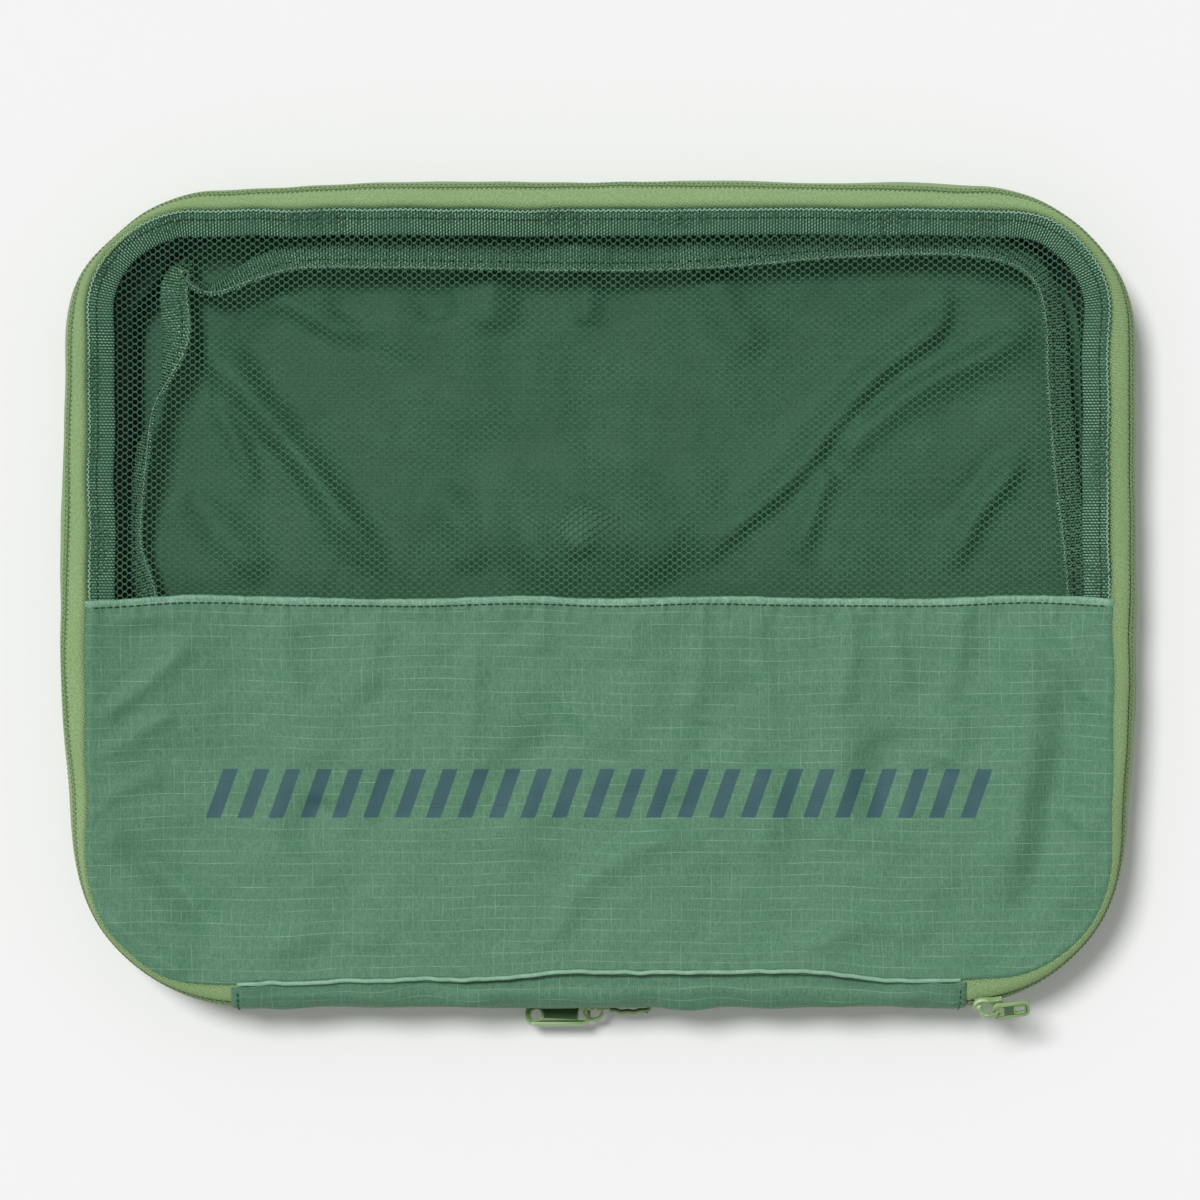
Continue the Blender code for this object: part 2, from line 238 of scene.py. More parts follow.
def smooth_rows(rows, level):
    """Catmull-Rom through the rows of an array at a fractional row."""
    low = min(int(level), len(rows) - 2)
    t = level - low
    before = rows[low - 1] if low else 2 * rows[0] - rows[1]
    after = rows[low + 2] if low + 2 < len(rows) else 2 * rows[-1] - rows[-2]
    a, b = 0.5 * (rows[low + 1] - before), 0.5 * (after - rows[low])
    rise = rows[low + 1] - rows[low]
    return rows[low] + t * (a + t * (3 * rise - 2 * a - b + t * (a + b - 2 * rise)))


def seam_sag(x, y):
    """How far the lid's rim dips and waves along its length."""
    return 0.9 * waves(x, y, 150, 5, 6) + 0.25 * waves(x, y, 38, 6, 6)


def seam_drift(x, y):
    """How far the lid seam wanders in plan, most along the hinge edge."""
    front = soft_step(-y, 100, 130)
    drawn_in = soft_step(x, -52, -8) * (1 - soft_step(x, 72, 114)) * front * (y < 0)
    return (0.55 * waves(x, y, 120, 7, 6) * (0.4 + front * (1 - drawn_in))
            + 0.18 * waves(x, y, 30, 8, 6) - 3.4 * drawn_in)


def wall_bow(x, y, normal):
    """How far the wall pulls in from its straight sides, in plan."""
    side = np.abs(normal[:, 0])
    rear = 2.6 * side * (np.maximum(y, 0) / SEAM_Y) ** 2
    front = 3.3 * side * soft_step(-y, 30, 85) * (1 - 0.55 * soft_step(-y, 90, 122))
    left = 3.0 * (normal[:, 1] > 0.3) * soft_step(-x, 60, 145)
    right = 1.4 * (normal[:, 1] > 0.3) * soft_step(x, 100, 132)
    return rear + front + (left + right) * soft_step(normal[:, 1], 0.3, 0.8)


class Wall:
    """Points of the side wall at any level, for one spacing along it."""

    def __init__(self, spacing):
        self.plan = Plan(spacing)
        self.s = self.plan.s
        rows = []
        for index, shape in enumerate(LEVELS):
            points, normal = self.plan.at(shape)
            x, y = points.T
            bow = wall_bow(x, y, normal) * min(index, 1)
            # The sliders' paths stay smooth.
            calm = 1 - 0.8 * soft_step(-y, 70, 95)
            drift = seam_drift(x, y) if index == SEAM else calm * (
                0.35 * waves(x, y, 90, 20 + index, 6) + 0.10 * waves(x, y, 24, 25 + index, 7))
            points = points + normal * (drift - bow)[:, None]
            height = shape[4] + (seam_sag(x, y) if index < MIDDLE else
                                 0.35 * waves(x, y, 110, 30 + index, 6) * (index < BOTTOM))
            rows.append(np.column_stack((points, height)))
        self.rows = np.array(rows)
        self.normal = self.plan.at(LEVELS[MIDDLE])[1]

    def at(self, level, inward=0.0):
        """Points (n, 3) at a level, moved in off the wall's face."""
        here = smooth_rows(self.rows, level)
        above = smooth_rows(self.rows, max(level - 0.05, 0.0))
        below = smooth_rows(self.rows, min(level + 0.05, float(BOTTOM)))
        along = np.column_stack((-self.normal[:, 1], self.normal[:, 0], np.zeros(len(here))))
        return here - unit(np.cross(below - above, along)) * inward


# ---------------------------------------------------------------- materials

class Graph:
    """A material's node graph, built with short calls that return sockets."""

    def __init__(self, name, roughness, specular=0.5):
        self.material = bpy.data.materials.new(name)
        self.material.use_nodes = True
        self.tree = self.material.node_tree
        self.shader = self.tree.nodes["Principled BSDF"]
        self.set("Roughness", roughness)
        self.set("Specular IOR Level", specular)

    def set(self, name, value):
        self.shader.inputs[name].default_value = value

    def node(self, kind, settings=(), **inputs):
        made = self.tree.nodes.new(kind)
        for key, value in dict(settings).items():
            setattr(made, key, value)
        for key, value in inputs.items():
            self.put(made.inputs[key.replace("_", " ")], value)
        return made

    def put(self, socket, value):
        if isinstance(value, bpy.types.NodeSocket):
            self.tree.links.new(value, socket)
        else:
            socket.default_value = value

    def math(self, operation, first, second=0.0, third=None):
        made = self.tree.nodes.new("ShaderNodeMath")
        made.operation = operation
        self.put(made.inputs[0], first)
        self.put(made.inputs[1], second)
        if third is not None:
            self.put(made.inputs[2], third)
        return made.outputs[0]

    def times(self, first, second):
        return self.math("MULTIPLY", first, second)

    def cloth(self):
        """Cloth coordinates along and across, in millimetres."""
        uv = self.node("ShaderNodeUVMap", {"uv_map": "cloth"})
        split = self.node("ShaderNodeSeparateXYZ", Vector=uv.outputs[0])
        return (self.times(split.outputs[0], 1000.0),
                self.times(split.outputs[1], 1000.0))

    def vector(self, x, y, z=0.0):
        return self.node("ShaderNodeCombineXYZ", X=x, Y=y, Z=z).outputs[0]

    def noise(self, vector, scale, detail=2.0, roughness=0.5):
        return self.node("ShaderNodeTexNoise", Vector=vector, Scale=scale, Detail=detail,
                         Roughness=roughness).outputs["Fac"]

    def line(self, value, pitch, width, soft=0.12):
        """1 on evenly spaced lines, 0 between them."""
        share = self.math("PINGPONG", value, 0.5 * pitch)
        return self.between(share, 0.5 * width + soft, max(0.5 * width - soft, 0.0))

    def between(self, value, low, high, to_low=0.0, to_high=1.0):
        made = self.node("ShaderNodeMapRange", {"interpolation_type": "SMOOTHSTEP"})
        self.put(made.inputs["Value"], value)
        for key, limit in (("From Min", low), ("From Max", high), ("To Min", to_low),
                           ("To Max", to_high)):
            made.inputs[key].default_value = limit
        return made.outputs[0]

    def mix(self, amount, first, second):
        made = self.tree.nodes.new("ShaderNodeMix")
        made.data_type = "RGBA"
        self.put(made.inputs[0], amount)
        self.put(made.inputs[6], (*first, 1.0) if isinstance(first, tuple) else first)
        self.put(made.inputs[7], (*second, 1.0) if isinstance(second, tuple) else second)
        return made.outputs[2]

    def bump(self, height, distance, strength=1.0):
        made = self.node("ShaderNodeBump", Height=height, Distance=distance, Strength=strength)
        self.tree.links.new(made.outputs[0], self.shader.inputs["Normal"])

    def colour(self, socket):
        self.put(self.shader.inputs["Base Color"], (*socket, 1.0) if isinstance(socket, tuple)
                 else socket)


RIPSTOP = (0.104, 0.243, 0.147)
RIPSTOP_DARK = (0.066, 0.178, 0.102)
RIPSTOP_LINE = (0.235, 0.420, 0.290)
PRINT = (0.036, 0.098, 0.112)


def ripstop_material(name, base, dark, line, printed=False):
    g = Graph(name, roughness=0.62, specular=0.28)
    u, v = g.cloth()
    drawn = g.noise(g.vector(u, v, 12.0), 0.022, 1.0)
    pulled = g.noise(g.vector(u, v, 17.0), 0.022, 1.0)
    across = g.line(g.math("MULTIPLY_ADD", drawn, 4.5, v), 4.0, 0.28)
    along = g.line(g.math("MULTIPLY_ADD", pulled, 4.5, u), 3.5, 0.22)
    run_u = g.noise(g.vector(g.times(u, 0.09), v, 2.0), 0.8, 3.0)
    run_v = g.noise(g.vector(u, g.times(v, 0.12), 6.0), 0.8, 3.0)
    across = g.times(across, g.between(run_u, 0.34, 0.66, 0.10, 0.95))
    along = g.times(along, g.between(run_v, 0.40, 0.68, 0.05, 0.75))
    threads = g.math("MAXIMUM", across, along)
    twinkle = g.between(g.noise(g.vector(u, v, 8.0), 1.9, 1.0), 0.3, 0.6, 0.45, 1.0)
    shown = g.times(threads, twinkle)
    mottle = g.noise(g.vector(g.times(u, 2.2), g.times(v, 0.35)), 0.9, 3.0)
    fine = g.noise(g.vector(u, v, 3.0), 1.5, 2.0, 0.7)
    shade = g.math("ADD", g.times(mottle, 0.4), g.times(fine, 0.6))
    cloth = g.mix(g.between(shade, 0.36, 0.64), dark, base)
    cloth = g.mix(g.times(shown, 0.85), cloth, line)
    if printed:
        cloth = g.mix(print_mask(g, u, v), cloth, PRINT)
    g.colour(cloth)
    weave_u = g.line(u, 0.5, 0.2, 0.12)
    weave_v = g.line(v, 0.5, 0.2, 0.12)
    weave = g.math("ADD", g.times(weave_u, 0.25), g.times(weave_v, 0.25))
    g.bump(g.math("ADD", weave, threads), 0.00012, 0.6)
    return g.material


PRINT_CENTRE_Y = 0.5 * (PANEL_LOW[1] + PANEL_HIGH[1]) - 1.5
PRINT_PITCH = 11.0
PRINT_BARS = 25
PRINT_HALF_X = 0.5 * PRINT_BARS * PRINT_PITCH
PRINT_HALF_Y = 8.5
PRINT_BLUR = 0.15
PRINT_STROKE = 5.2
PRINT_SLANT = 0.35


def print_mask(g, u, v):
    """A plain printed band of slanted strokes."""
    risen = g.math("SUBTRACT", v, PRINT_CENTRE_Y)
    slid = g.math("SUBTRACT", u, g.times(risen, PRINT_SLANT))
    strokes = g.line(slid, PRINT_PITCH, PRINT_STROKE, PRINT_BLUR)
    height = g.math("ABSOLUTE", risen)
    inside_y = g.between(height, PRINT_HALF_Y + PRINT_BLUR, PRINT_HALF_Y - PRINT_BLUR)
    inside_x = g.between(g.math("ABSOLUTE", slid), PRINT_HALF_X + PRINT_BLUR,
                         PRINT_HALF_X - PRINT_BLUR)
    wear_and_edge_highlight = g.between(g.noise(g.vector(u, v, 5.0), 1.6, 2.0), 0.2, 0.42, 0.82, 0.97)
    return g.times(g.times(strokes, wear_and_edge_highlight),
                  g.times(inside_x, inside_y))


def tape_material():
    g = Graph("zip_tape", roughness=0.78, specular=0.3)
    u, v = g.cloth()
    twill = g.line(g.math("ADD", u, g.times(v, 0.8)), 0.95, 0.40, 0.18)
    ribs = g.line(v, 0.7, 0.22, 0.16)
    noise = g.noise(g.vector(u, v), 1.1, 3.0, 0.6)
    slow = g.noise(g.vector(u, v, 4.0), 0.06, 2.0)
    base = g.mix(g.between(noise, 0.3, 0.7), (0.215, 0.335, 0.143), (0.320, 0.465, 0.222))
    base = g.mix(g.between(slow, 0.35, 0.65, 0.0, 0.3), base, (0.235, 0.370, 0.150))
    beside = g.between(v, 1.0, 4.2, 1.0, 0.0)
    coarse = g.times(g.line(g.math("ADD", u, g.times(v, 0.9)), 1.3, 0.62, 0.2),
                    g.line(g.math("SUBTRACT", v, g.times(u, 0.3)), 1.0, 0.55, 0.2))
    base = g.mix(g.times(twill, 0.24), base, (0.120, 0.205, 0.075))
    base = g.mix(g.times(beside, g.between(coarse, 0.0, 1.0, 0.12, 0.9)), base,
                 (0.045, 0.095, 0.026))
    g.colour(base)
    height = g.math("SUBTRACT", g.times(ribs, 0.4), twill)
    g.bump(height, 0.00014, 0.7)
    g.set("Sheen Weight", 0.08)
    return g.material


def binding_material(name, rib_highlight):
    """Ribs across a narrow woven tape, each broken into short dashes; their colour goes from near
    black between the ribs to bright on their crests: painted shade and painted highlight.
    """
    g = Graph(name, roughness=0.74, specular=0.3)
    u, v = g.cloth()
    ribs = g.line(u, 1.18, 0.5, 0.2)
    weave = g.line(g.math("MULTIPLY_ADD", u, 0.53, v), 1.25, 0.78, 0.2)
    noise = g.noise(g.vector(u, v), 0.7, 2.0)
    slow = g.noise(g.vector(u, v, 7.0), 0.06, 1.0)
    shade = g.times(ribs, g.between(weave, 0.0, 1.0, 0.2, 1.0))
    # Near black in the grooves, bright on the crests: painted shade and painted highlight.
    base = g.mix(shade, (0.006, 0.034, 0.018), rib_highlight)
    base = g.mix(g.between(noise, 0.42, 0.75, 0.0, 0.6), base, (0.030, 0.105, 0.058))
    g.colour(g.mix(g.between(slow, 0.4, 0.65, 0.0, 0.35), base, (0.040, 0.130, 0.075)))
    g.bump(shade, 0.00030, 0.8)
    return g.material


def net_material():
    g = Graph("net_thread", roughness=0.6, specular=0.25)
    u, v = g.cloth()
    grain = g.noise(g.vector(u, v), 2.4, 1.0)
    slow = g.noise(g.vector(u, v, 9.0), 0.05, 2.0)
    base = g.mix(g.between(grain, 0.3, 0.7), (0.032, 0.100, 0.054), (0.062, 0.165, 0.094))
    g.colour(g.mix(g.between(slow, 0.4, 0.65, 0.0, 0.35), base, (0.030, 0.085, 0.048)))
    g.bump(grain, 0.00008, 0.5)
    return g.material


def grained_material(name, low, high, scale=900.0, roughness=0.55, bump=(0.00005, 0.4), **more):
    """One colour with a fine grain: threads, the coils' wire and the floor."""
    g = Graph(name, roughness, **more)
    grain = g.noise(g.node("ShaderNodeTexCoord").outputs["Object"], scale, 2.0)
    g.colour(g.mix(grain, low, high))
    if bump:
        g.bump(grain, *bump)
    return g.material


def metal_material(name="painted_metal", low=(0.190, 0.320, 0.120), high=(0.260, 0.410, 0.170)):
    """Glossy paint on cast metal, paler on its sharp edges: painted highlight."""
    g = Graph(name, roughness=0.26)
    place = g.node("ShaderNodeTexCoord").outputs["Object"]
    grain = g.noise(place, 700.0, 3.0)
    slow = g.noise(place, 120.0, 2.0)
    bevel = g.node("ShaderNodeNewGeometry").outputs["Pointiness"]
    # Sharp edges are mixed towards pale green: painted highlight.
    wear_and_edge_highlight = g.between(bevel, 0.53, 0.60, 0.0, 0.55)
    paint = g.mix(slow, low, high)
    g.colour(g.mix(wear_and_edge_highlight, paint, (0.600, 0.720, 0.480)))
    g.bump(grain, 0.00004, 0.35)
    g.set("Coat Weight", 0.5)
    g.set("Coat Roughness", 0.12)
    return g.material


MATERIALS = {
    "lid": ripstop_material("lid_ripstop", RIPSTOP, RIPSTOP_DARK, RIPSTOP_LINE, printed=True),
    "ripstop": ripstop_material("ripstop", RIPSTOP, RIPSTOP_DARK, RIPSTOP_LINE),
    # The hem: the ripstop made paler, painted highlight on its rolled edge.
    "hem": ripstop_material("hem_ripstop_painted_highlight", (0.250, 0.450, 0.310), (0.140, 0.290, 0.185),
                            (0.360, 0.560, 0.420)),
    # The back panel's inside: the ripstop made darker, painted shade under the lid.
    "inner": ripstop_material("inner_ripstop_painted_shade", (0.056, 0.176, 0.092), (0.034, 0.122, 0.061),
                              (0.100, 0.240, 0.140)),
    # The gusset: ripstop made near black, painted shade of the deep gaps inside the wall.
    "gusset": ripstop_material("gusset_ripstop_painted_shade", (0.012, 0.038, 0.021), (0.007, 0.024, 0.013),
                               (0.020, 0.052, 0.030)),
    "tape": tape_material(),
    "binding": binding_material("binding", (0.300, 0.590, 0.370)),
    # A brighter copy of the binding for the back seam: painted light that makes up for the shade
    # under the net.
    "inner_binding_painted_light": binding_material("inner_binding_painted_light", (0.400, 0.820, 0.490)),
    "net": net_material(),
    "dark_thread": grained_material("dark_thread", (0.006, 0.022, 0.012), (0.020, 0.060, 0.034)),
    "tape_thread": grained_material("tape_thread", (0.060, 0.110, 0.036), (0.130, 0.210, 0.080)),
    "light_thread": grained_material("light_thread", (0.190, 0.370, 0.245),
                                     (0.400, 0.620, 0.450)),
    # The lid's turned front edge: ripstop made paler, painted highlight along the hinge.
    "edge": grained_material("edge_ripstop_painted_highlight", (0.150, 0.310, 0.200), (0.300, 0.500, 0.370)),
    "coil": grained_material("zip_coil", (0.130, 0.230, 0.085), (0.190, 0.310, 0.125), 260.0,
                             roughness=0.38, bump=(0.00004, 0.3)),
    "floor": grained_material("floor", (0.880, 0.880, 0.880), (0.886, 0.886, 0.886), 60.0,
                              roughness=0.9, bump=None, specular=0.1),
    "metal": metal_material(),
    # Dark green paint for the pulls' sunk faces, made darker still as painted shade in the recess.
    "metal_sunk": metal_material("metal_sunk", (0.045, 0.105, 0.045), (0.075, 0.150, 0.070)),
}


# ---------------------------------------------------------------- mesh makers

def link(name, data, material, smooth=True):
    made = bpy.data.objects.new(name, data)
    bpy.context.scene.collection.objects.link(made)
    data.materials.append(MATERIALS[material])
    if smooth and hasattr(data, "shade_smooth"):
        data.shade_smooth()
    return made


def mesh_of(name, points, faces, material, uv=None, smooth=True):
    """A mesh from points in millimetres, index faces and cloth coordinates in millimetres."""
    data = bpy.data.meshes.new(name)
    faces = np.asarray(faces, np.int32)
    data.vertices.add(len(points))
    data.vertices.foreach_set("co", (np.asarray(points, float) * MM).ravel())
    count, corners = faces.shape
    data.loops.add(count * corners)
    data.loops.foreach_set("vertex_index", faces.ravel())
    data.polygons.add(count)
    data.polygons.foreach_set("loop_start", np.arange(0, count * corners, corners))
    if uv is not None:
        layer = data.uv_layers.new(name="cloth")
        layer.data.foreach_set("uv", (np.asarray(uv, float)[faces.ravel()] * MM).ravel())
    data.update(calc_edges=True)
    data.validate()
    return link(name, data, material, smooth)


def lattice_faces(rows, columns, ring=False, flip=False):
    across = np.arange(columns if ring else columns - 1)
    there = (across + 1) % columns
    faces = []
    for row in range(rows - 1):
        low, high = row * columns, (row + 1) * columns
        faces.append(np.stack((low + across, high + across, high + there, low + there), 1))
    faces = np.concatenate(faces)
    return faces[:, ::-1] if flip else faces


def lattice(name, points, uv, material, thickness=0.0, flip=False, inner=None):
    """A cloth sheet from rows of points (rows, columns, 3), thickened inward if asked."""
    rows, columns = points.shape[:2]
    made = mesh_of(name, points.reshape(-1, 3), lattice_faces(rows, columns, flip=flip), material,
                   uv.reshape(-1, 2))
    if inner:
        made.data.materials.append(MATERIALS[inner])
    if thickness:
        thicken(made, thickness, 1 if inner else 0)
    return made


def thicken(piece, thickness, inner_material):
    shell = piece.modifiers.new("cloth thickness", "SOLIDIFY")
    shell.thickness = thickness * MM
    shell.offset = -1.0
    shell.material_offset = inner_material
    apply_modifiers(piece)


def apply_modifiers(piece):
    graph = bpy.context.evaluated_depsgraph_get()
    data = bpy.data.meshes.new_from_object(piece.evaluated_get(graph))
    piece.modifiers.clear()
    piece.data = data


def closed_rows(rows):
    """Rows round the wall with their first point repeated at the end."""
    return np.concatenate((rows, rows[:, :1]), axis=1)


def ribbon_uv(points):
    """A ribbon's cloth coordinates (rows, columns, 2), measured along its middle row."""
    along = lengths_along(points[len(points) // 2])
    step = np.linalg.norm(np.diff(points, axis=0), axis=2).mean(axis=1)
    across = np.concatenate(((0.0,), np.cumsum(step)))
    u, v = np.meshgrid(along, across)
    return np.stack((u, v), 2)


def stitches(name, points, normals, length, width, pitch, material, lift=0.05, sideways=0.0):
    """Short raised stitches laid evenly along a line, as small closed lozenges."""
    travelled = lengths_along(points)
    count = max(2, int(travelled[-1] / pitch))
    places = (np.arange(count) + 0.5) * travelled[-1] / count
    centre = along_line(places, travelled, points)
    away = unit(along_line(places, travelled, normals))
    ahead = unit(along_line(places + 0.4, travelled, points)
                 - along_line(places - 0.4, travelled, points))
    ahead = unit(ahead + sideways * np.cross(away, ahead))
    side = np.cross(away, ahead)
    profile = ((-0.5, 0.0), (-0.3, 0.5), (0.3, 0.5), (0.5, 0.0), (0.3, -0.5), (-0.3, -0.5))
    edge = [centre + ahead * (a * length) + side * (b * width) + away * lift for a, b in profile]
    crown = [centre + ahead * (a * length * 0.8) + away * (lift + width * 0.6) for a in (-0.3, 0.3)]
    base = [centre + ahead * (a * length * 0.8) - away * (width * 0.5) for a in (-0.3, 0.3)]
    stack = np.stack(edge + crown + base, 1)
    per = stack.shape[1]
    local = ((0, 1, 6, 0), (1, 2, 7, 6), (2, 3, 7, 2), (3, 4, 7, 3), (4, 5, 6, 7), (5, 0, 6, 5),
             (1, 0, 8, 1), (2, 1, 8, 9), (3, 2, 9, 3), (4, 3, 9, 4), (5, 4, 9, 8), (0, 5, 8, 0))
    triangles = []
    for a, b, c, d in local:
        triangles.append((a, b, c))
        if d != a:
            triangles.append((a, c, d))
    faces = (np.arange(count)[:, None, None] * per + np.array(triangles)[None]).reshape(-1, 3)
    return mesh_of(name, stack.reshape(-1, 3), faces[:, ::-1], material)


def join(name, parts):
    """One object from several, with the first one's name and material slots kept."""
    with bpy.context.temp_override(active_object=parts[0], selected_editable_objects=parts):
        bpy.ops.object.join()
    parts[0].name = name
    parts[0].data.name = name
    return parts[0]


def mesh_from(name, points, faces, material):
    """A mesh from points in millimetres and faces of any size."""
    data = bpy.data.meshes.new(name)
    data.from_pydata([tuple(p) for p in np.asarray(points, float) * MM], [],
                     [tuple(int(i) for i in face) for face in faces])
    data.update(calc_edges=True)
    return link(name, data, material)


def sweep(name, path, side, section, material, closed=False, capped=True):
    """A solid swept along path (n, 3), its section (m, 2) drawn across side and up."""
    if closed:
        ahead = unit(np.roll(path, -1, 0) - np.roll(path, 1, 0))
    else:
        ahead = unit(np.gradient(path, axis=0))
    up = unit(np.cross(ahead, side))
    side = np.cross(up, ahead)
    section = np.array(section, float)
    rings = (path[:, None] + side[:, None] * section[None, :, 0, None]
             + up[:, None] * section[None, :, 1, None])
    count, corners = rings.shape[:2]
    if closed:
        rings = np.concatenate((rings, rings[:1]))
        count += 1
    faces = [tuple(face) for face in lattice_faces(count, corners, ring=True, flip=True)]
    if capped and not closed:
        faces.append(tuple(range(corners - 1, -1, -1)))
        faces.append(tuple(range((count - 1) * corners, count * corners)))
    return mesh_from(name, rings.reshape(-1, 3), faces, material)


# ---------------------------------------------------------------- the side wall's strips

UPPER_TAPE = ((0.0, 2.3), (0.02, 1.8), (0.05, 0.75), (0.10, 0.10), (0.24, -0.18), (0.46, -0.26),
              (0.66, -0.16), (0.80, 0.0), (0.88, 0.02), (0.925, 0.25), (0.945, 0.9))
LOWER_TAPE = ((0.05, 0.9), (0.07, 0.25), (0.12, 0.0), (0.24, -0.05), (0.45, -0.25),
              (0.66, -0.25), (0.84, 0.0), (0.94, 0.35), (0.985, 0.9), (1.0, 1.4))
PRESS_UPPER = ((0.0, 1.4), (0.02, 0.85), (0.07, 0.3), (0.18, 0.0), (0.4, -0.2), (0.62, -0.1),
               (0.80, 0.0), (0.90, 0.05), (0.94, 0.3), (0.96, 0.85))
PRESS_LOWER = ((0.04, 0.85), (0.06, 0.3), (0.12, 0.05), (0.30, -0.1), (0.55, -0.2), (0.78, 0.0),
               (0.90, 0.25), (0.96, 0.7), (1.0, 1.5))
TAPE_THICKNESS = 0.6


def past_hinge(margin):
    """Which columns of the wall lie at least a margin past the hinge panel's ends."""
    low, high = HINGE_S + margin, wall.plan.length - HINGE_S - margin
    return np.flatnonzero((wall.s >= low) & (wall.s <= high))


def wall_line(level, inward, columns=None):
    """A line along the wall and the outward direction at each of its points."""
    line = wall.at(level, inward)
    away = unit(wall.at(level, inward - 0.5) - line)
    if columns is None:
        return np.concatenate((line, line[:1])), np.concatenate((away, away[:1]))
    return line[columns], away[columns]


COIL_PITCH = 1.7
COIL_STEPS = 9
COIL_RADIUS = 0.75
COIL_INWARD = 2.2
WIRE = 0.24


def coil(name, level, columns):
    """A zip's coil as one helix of wire just behind the tape's edge."""
    line, away = wall_line(level, COIL_INWARD, columns)
    travelled = lengths_along(line)
    turns = int(travelled[-1] / COIL_PITCH)
    places = np.linspace(0, travelled[-1], turns * COIL_STEPS + 1)
    centre = along_line(places, travelled, line)
    away = unit(along_line(places, travelled, away))
    ahead = unit(np.gradient(centre, axis=0))
    down = unit(np.cross(away, ahead))
    turn = 2 * math.pi * np.arange(len(places)) / COIL_STEPS
    radial = away * np.cos(turn)[:, None] + down * np.sin(turn)[:, None]
    return sweep(name, centre + radial * COIL_RADIUS, radial, ring(WIRE, WIRE, 4), "coil")


def rides(piece, body, slot, *nodes):
    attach(piece, body)
    if nodes:
        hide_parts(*nodes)


def bends_with_lid(piece, slot, *nodes):
    """Fabric that crosses the lid's crease, left fixed where it lies; the nodes it stands for are
    hidden.
    """
    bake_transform(piece)
    if nodes:
        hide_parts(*nodes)


WALL_SPACING = 2.4
FRONT_SPACING = 1.6
GUSSET_SPACING = 3.0
BINDING_SPACING = 1.2

wall = Wall(WALL_SPACING)
# The tapes run on under the hinge panel, and the coils start further along.
TAPED = past_hinge(-4)
ZIPPED = past_hinge(1)
COILED = past_hinge(16)


def tape(name, level_from, level_to, profile, columns=None):
    """A zip tape down one band of the wall, closed round it unless columns are given."""
    rows = np.array([wall.at(level_from + (level_to - level_from) * share, inward)
                     for share, inward in profile])
    rows = closed_rows(rows) if columns is None else rows[:, columns]
    return lattice(name, rows, ribbon_uv(rows), "tape", TAPE_THICKNESS)


upper_tape = tape("main_tape_upper", SEAM, CLOSURE, UPPER_TAPE, TAPED)
bends_with_lid(upper_tape, "zip_tape", "main_zip_upper_tape", "main_zip_right_end",
               "main_zip_left_end")
lower_tape = tape("main_tape_lower", CLOSURE, MIDDLE, LOWER_TAPE, TAPED)
rides(lower_tape, "middle", "zip_tape", "main_zip_lower_tape")
press_upper = tape("compression_tape_upper", MIDDLE, PRESS, PRESS_UPPER)
rides(press_upper, "middle", "zip_tape", "compression_zip_upper_tape")
press_lower = tape("compression_tape_lower", PRESS, BOTTOM, PRESS_LOWER)
rides(press_lower, "base", "zip_tape", "compression_zip_lower_tape")


def coil_stitches(name, level, columns):
    line, away = wall_line(level, 0.0, columns)
    return stitches(name, line, away, 0.9, 0.42, COIL_PITCH, "tape_thread", lift=0.10,
                    sideways=0.35)


# (name, level, which columns, what it moves with)
STITCH_LINES = (
    ("main_coil_stitches_upper", CLOSURE - 0.17, ZIPPED, "crease"),
    ("main_coil_stitches_lower", CLOSURE + 0.16, ZIPPED, "middle"),
    ("compression_stitches_upper", PRESS - 0.17, None, "middle"),
    ("compression_stitches_lower", PRESS + 0.18, None, "base"),
)
for name, level, columns, body in STITCH_LINES:
    line = coil_stitches(name, level, columns)
    if body == "crease":
        bends_with_lid(line, "zip_tape")
    else:
        rides(line, body, "zip_tape")

# (name, level, which columns, the body it rides on, the node it stands for)
COILS = (
    ("main_coil_upper", CLOSURE - 0.14, COILED, "lid", "main_zip_upper_coil"),
    ("main_coil_lower", CLOSURE + 0.14, ZIPPED, "middle", "main_zip_lower_coil"),
    ("compression_coil_upper", PRESS - 0.20, None, "middle", "compression_zip_upper_coil"),
    ("compression_coil_lower", PRESS + 0.20, None, "base", "compression_zip_lower_coil"),
)
for name, level, columns, body, node in COILS:
    rides(coil(name, level, columns), body, "zip_coil", node)


# ---------------------------------------------------------------- the hinge panel

HINGE_PROFILE = ((0.0, 1.7), (0.03, 2.5), (0.07, 3.0), (0.11, 2.8), (0.16, 1.7), (0.21, 0.5),
                 (0.28, -0.25), (0.35, -0.35), (0.43, -0.1), (0.5, 0.0), (0.58, -0.1), (0.7, -0.3),
                 (0.82, -0.3), (0.9, -0.05), (0.955, 0.35), (0.985, 0.85), (1.0, 1.4))
HINGE_THICKNESS = 0.35
HINGE_LAP = 0.75
HINGE_COLUMNS = 190


def front_row(around, level, inward, x):
    """A line across the front wall at given places from left to right."""
    row = around.at(level, inward)
    ahead = row[:, 1] < 0
    order = np.argsort(row[ahead, 0])
    row = row[ahead][order]
    return np.column_stack((x, np.interp(x, row[:, 0], row[:, 1]),
                            np.interp(x, row[:, 0], row[:, 2])))


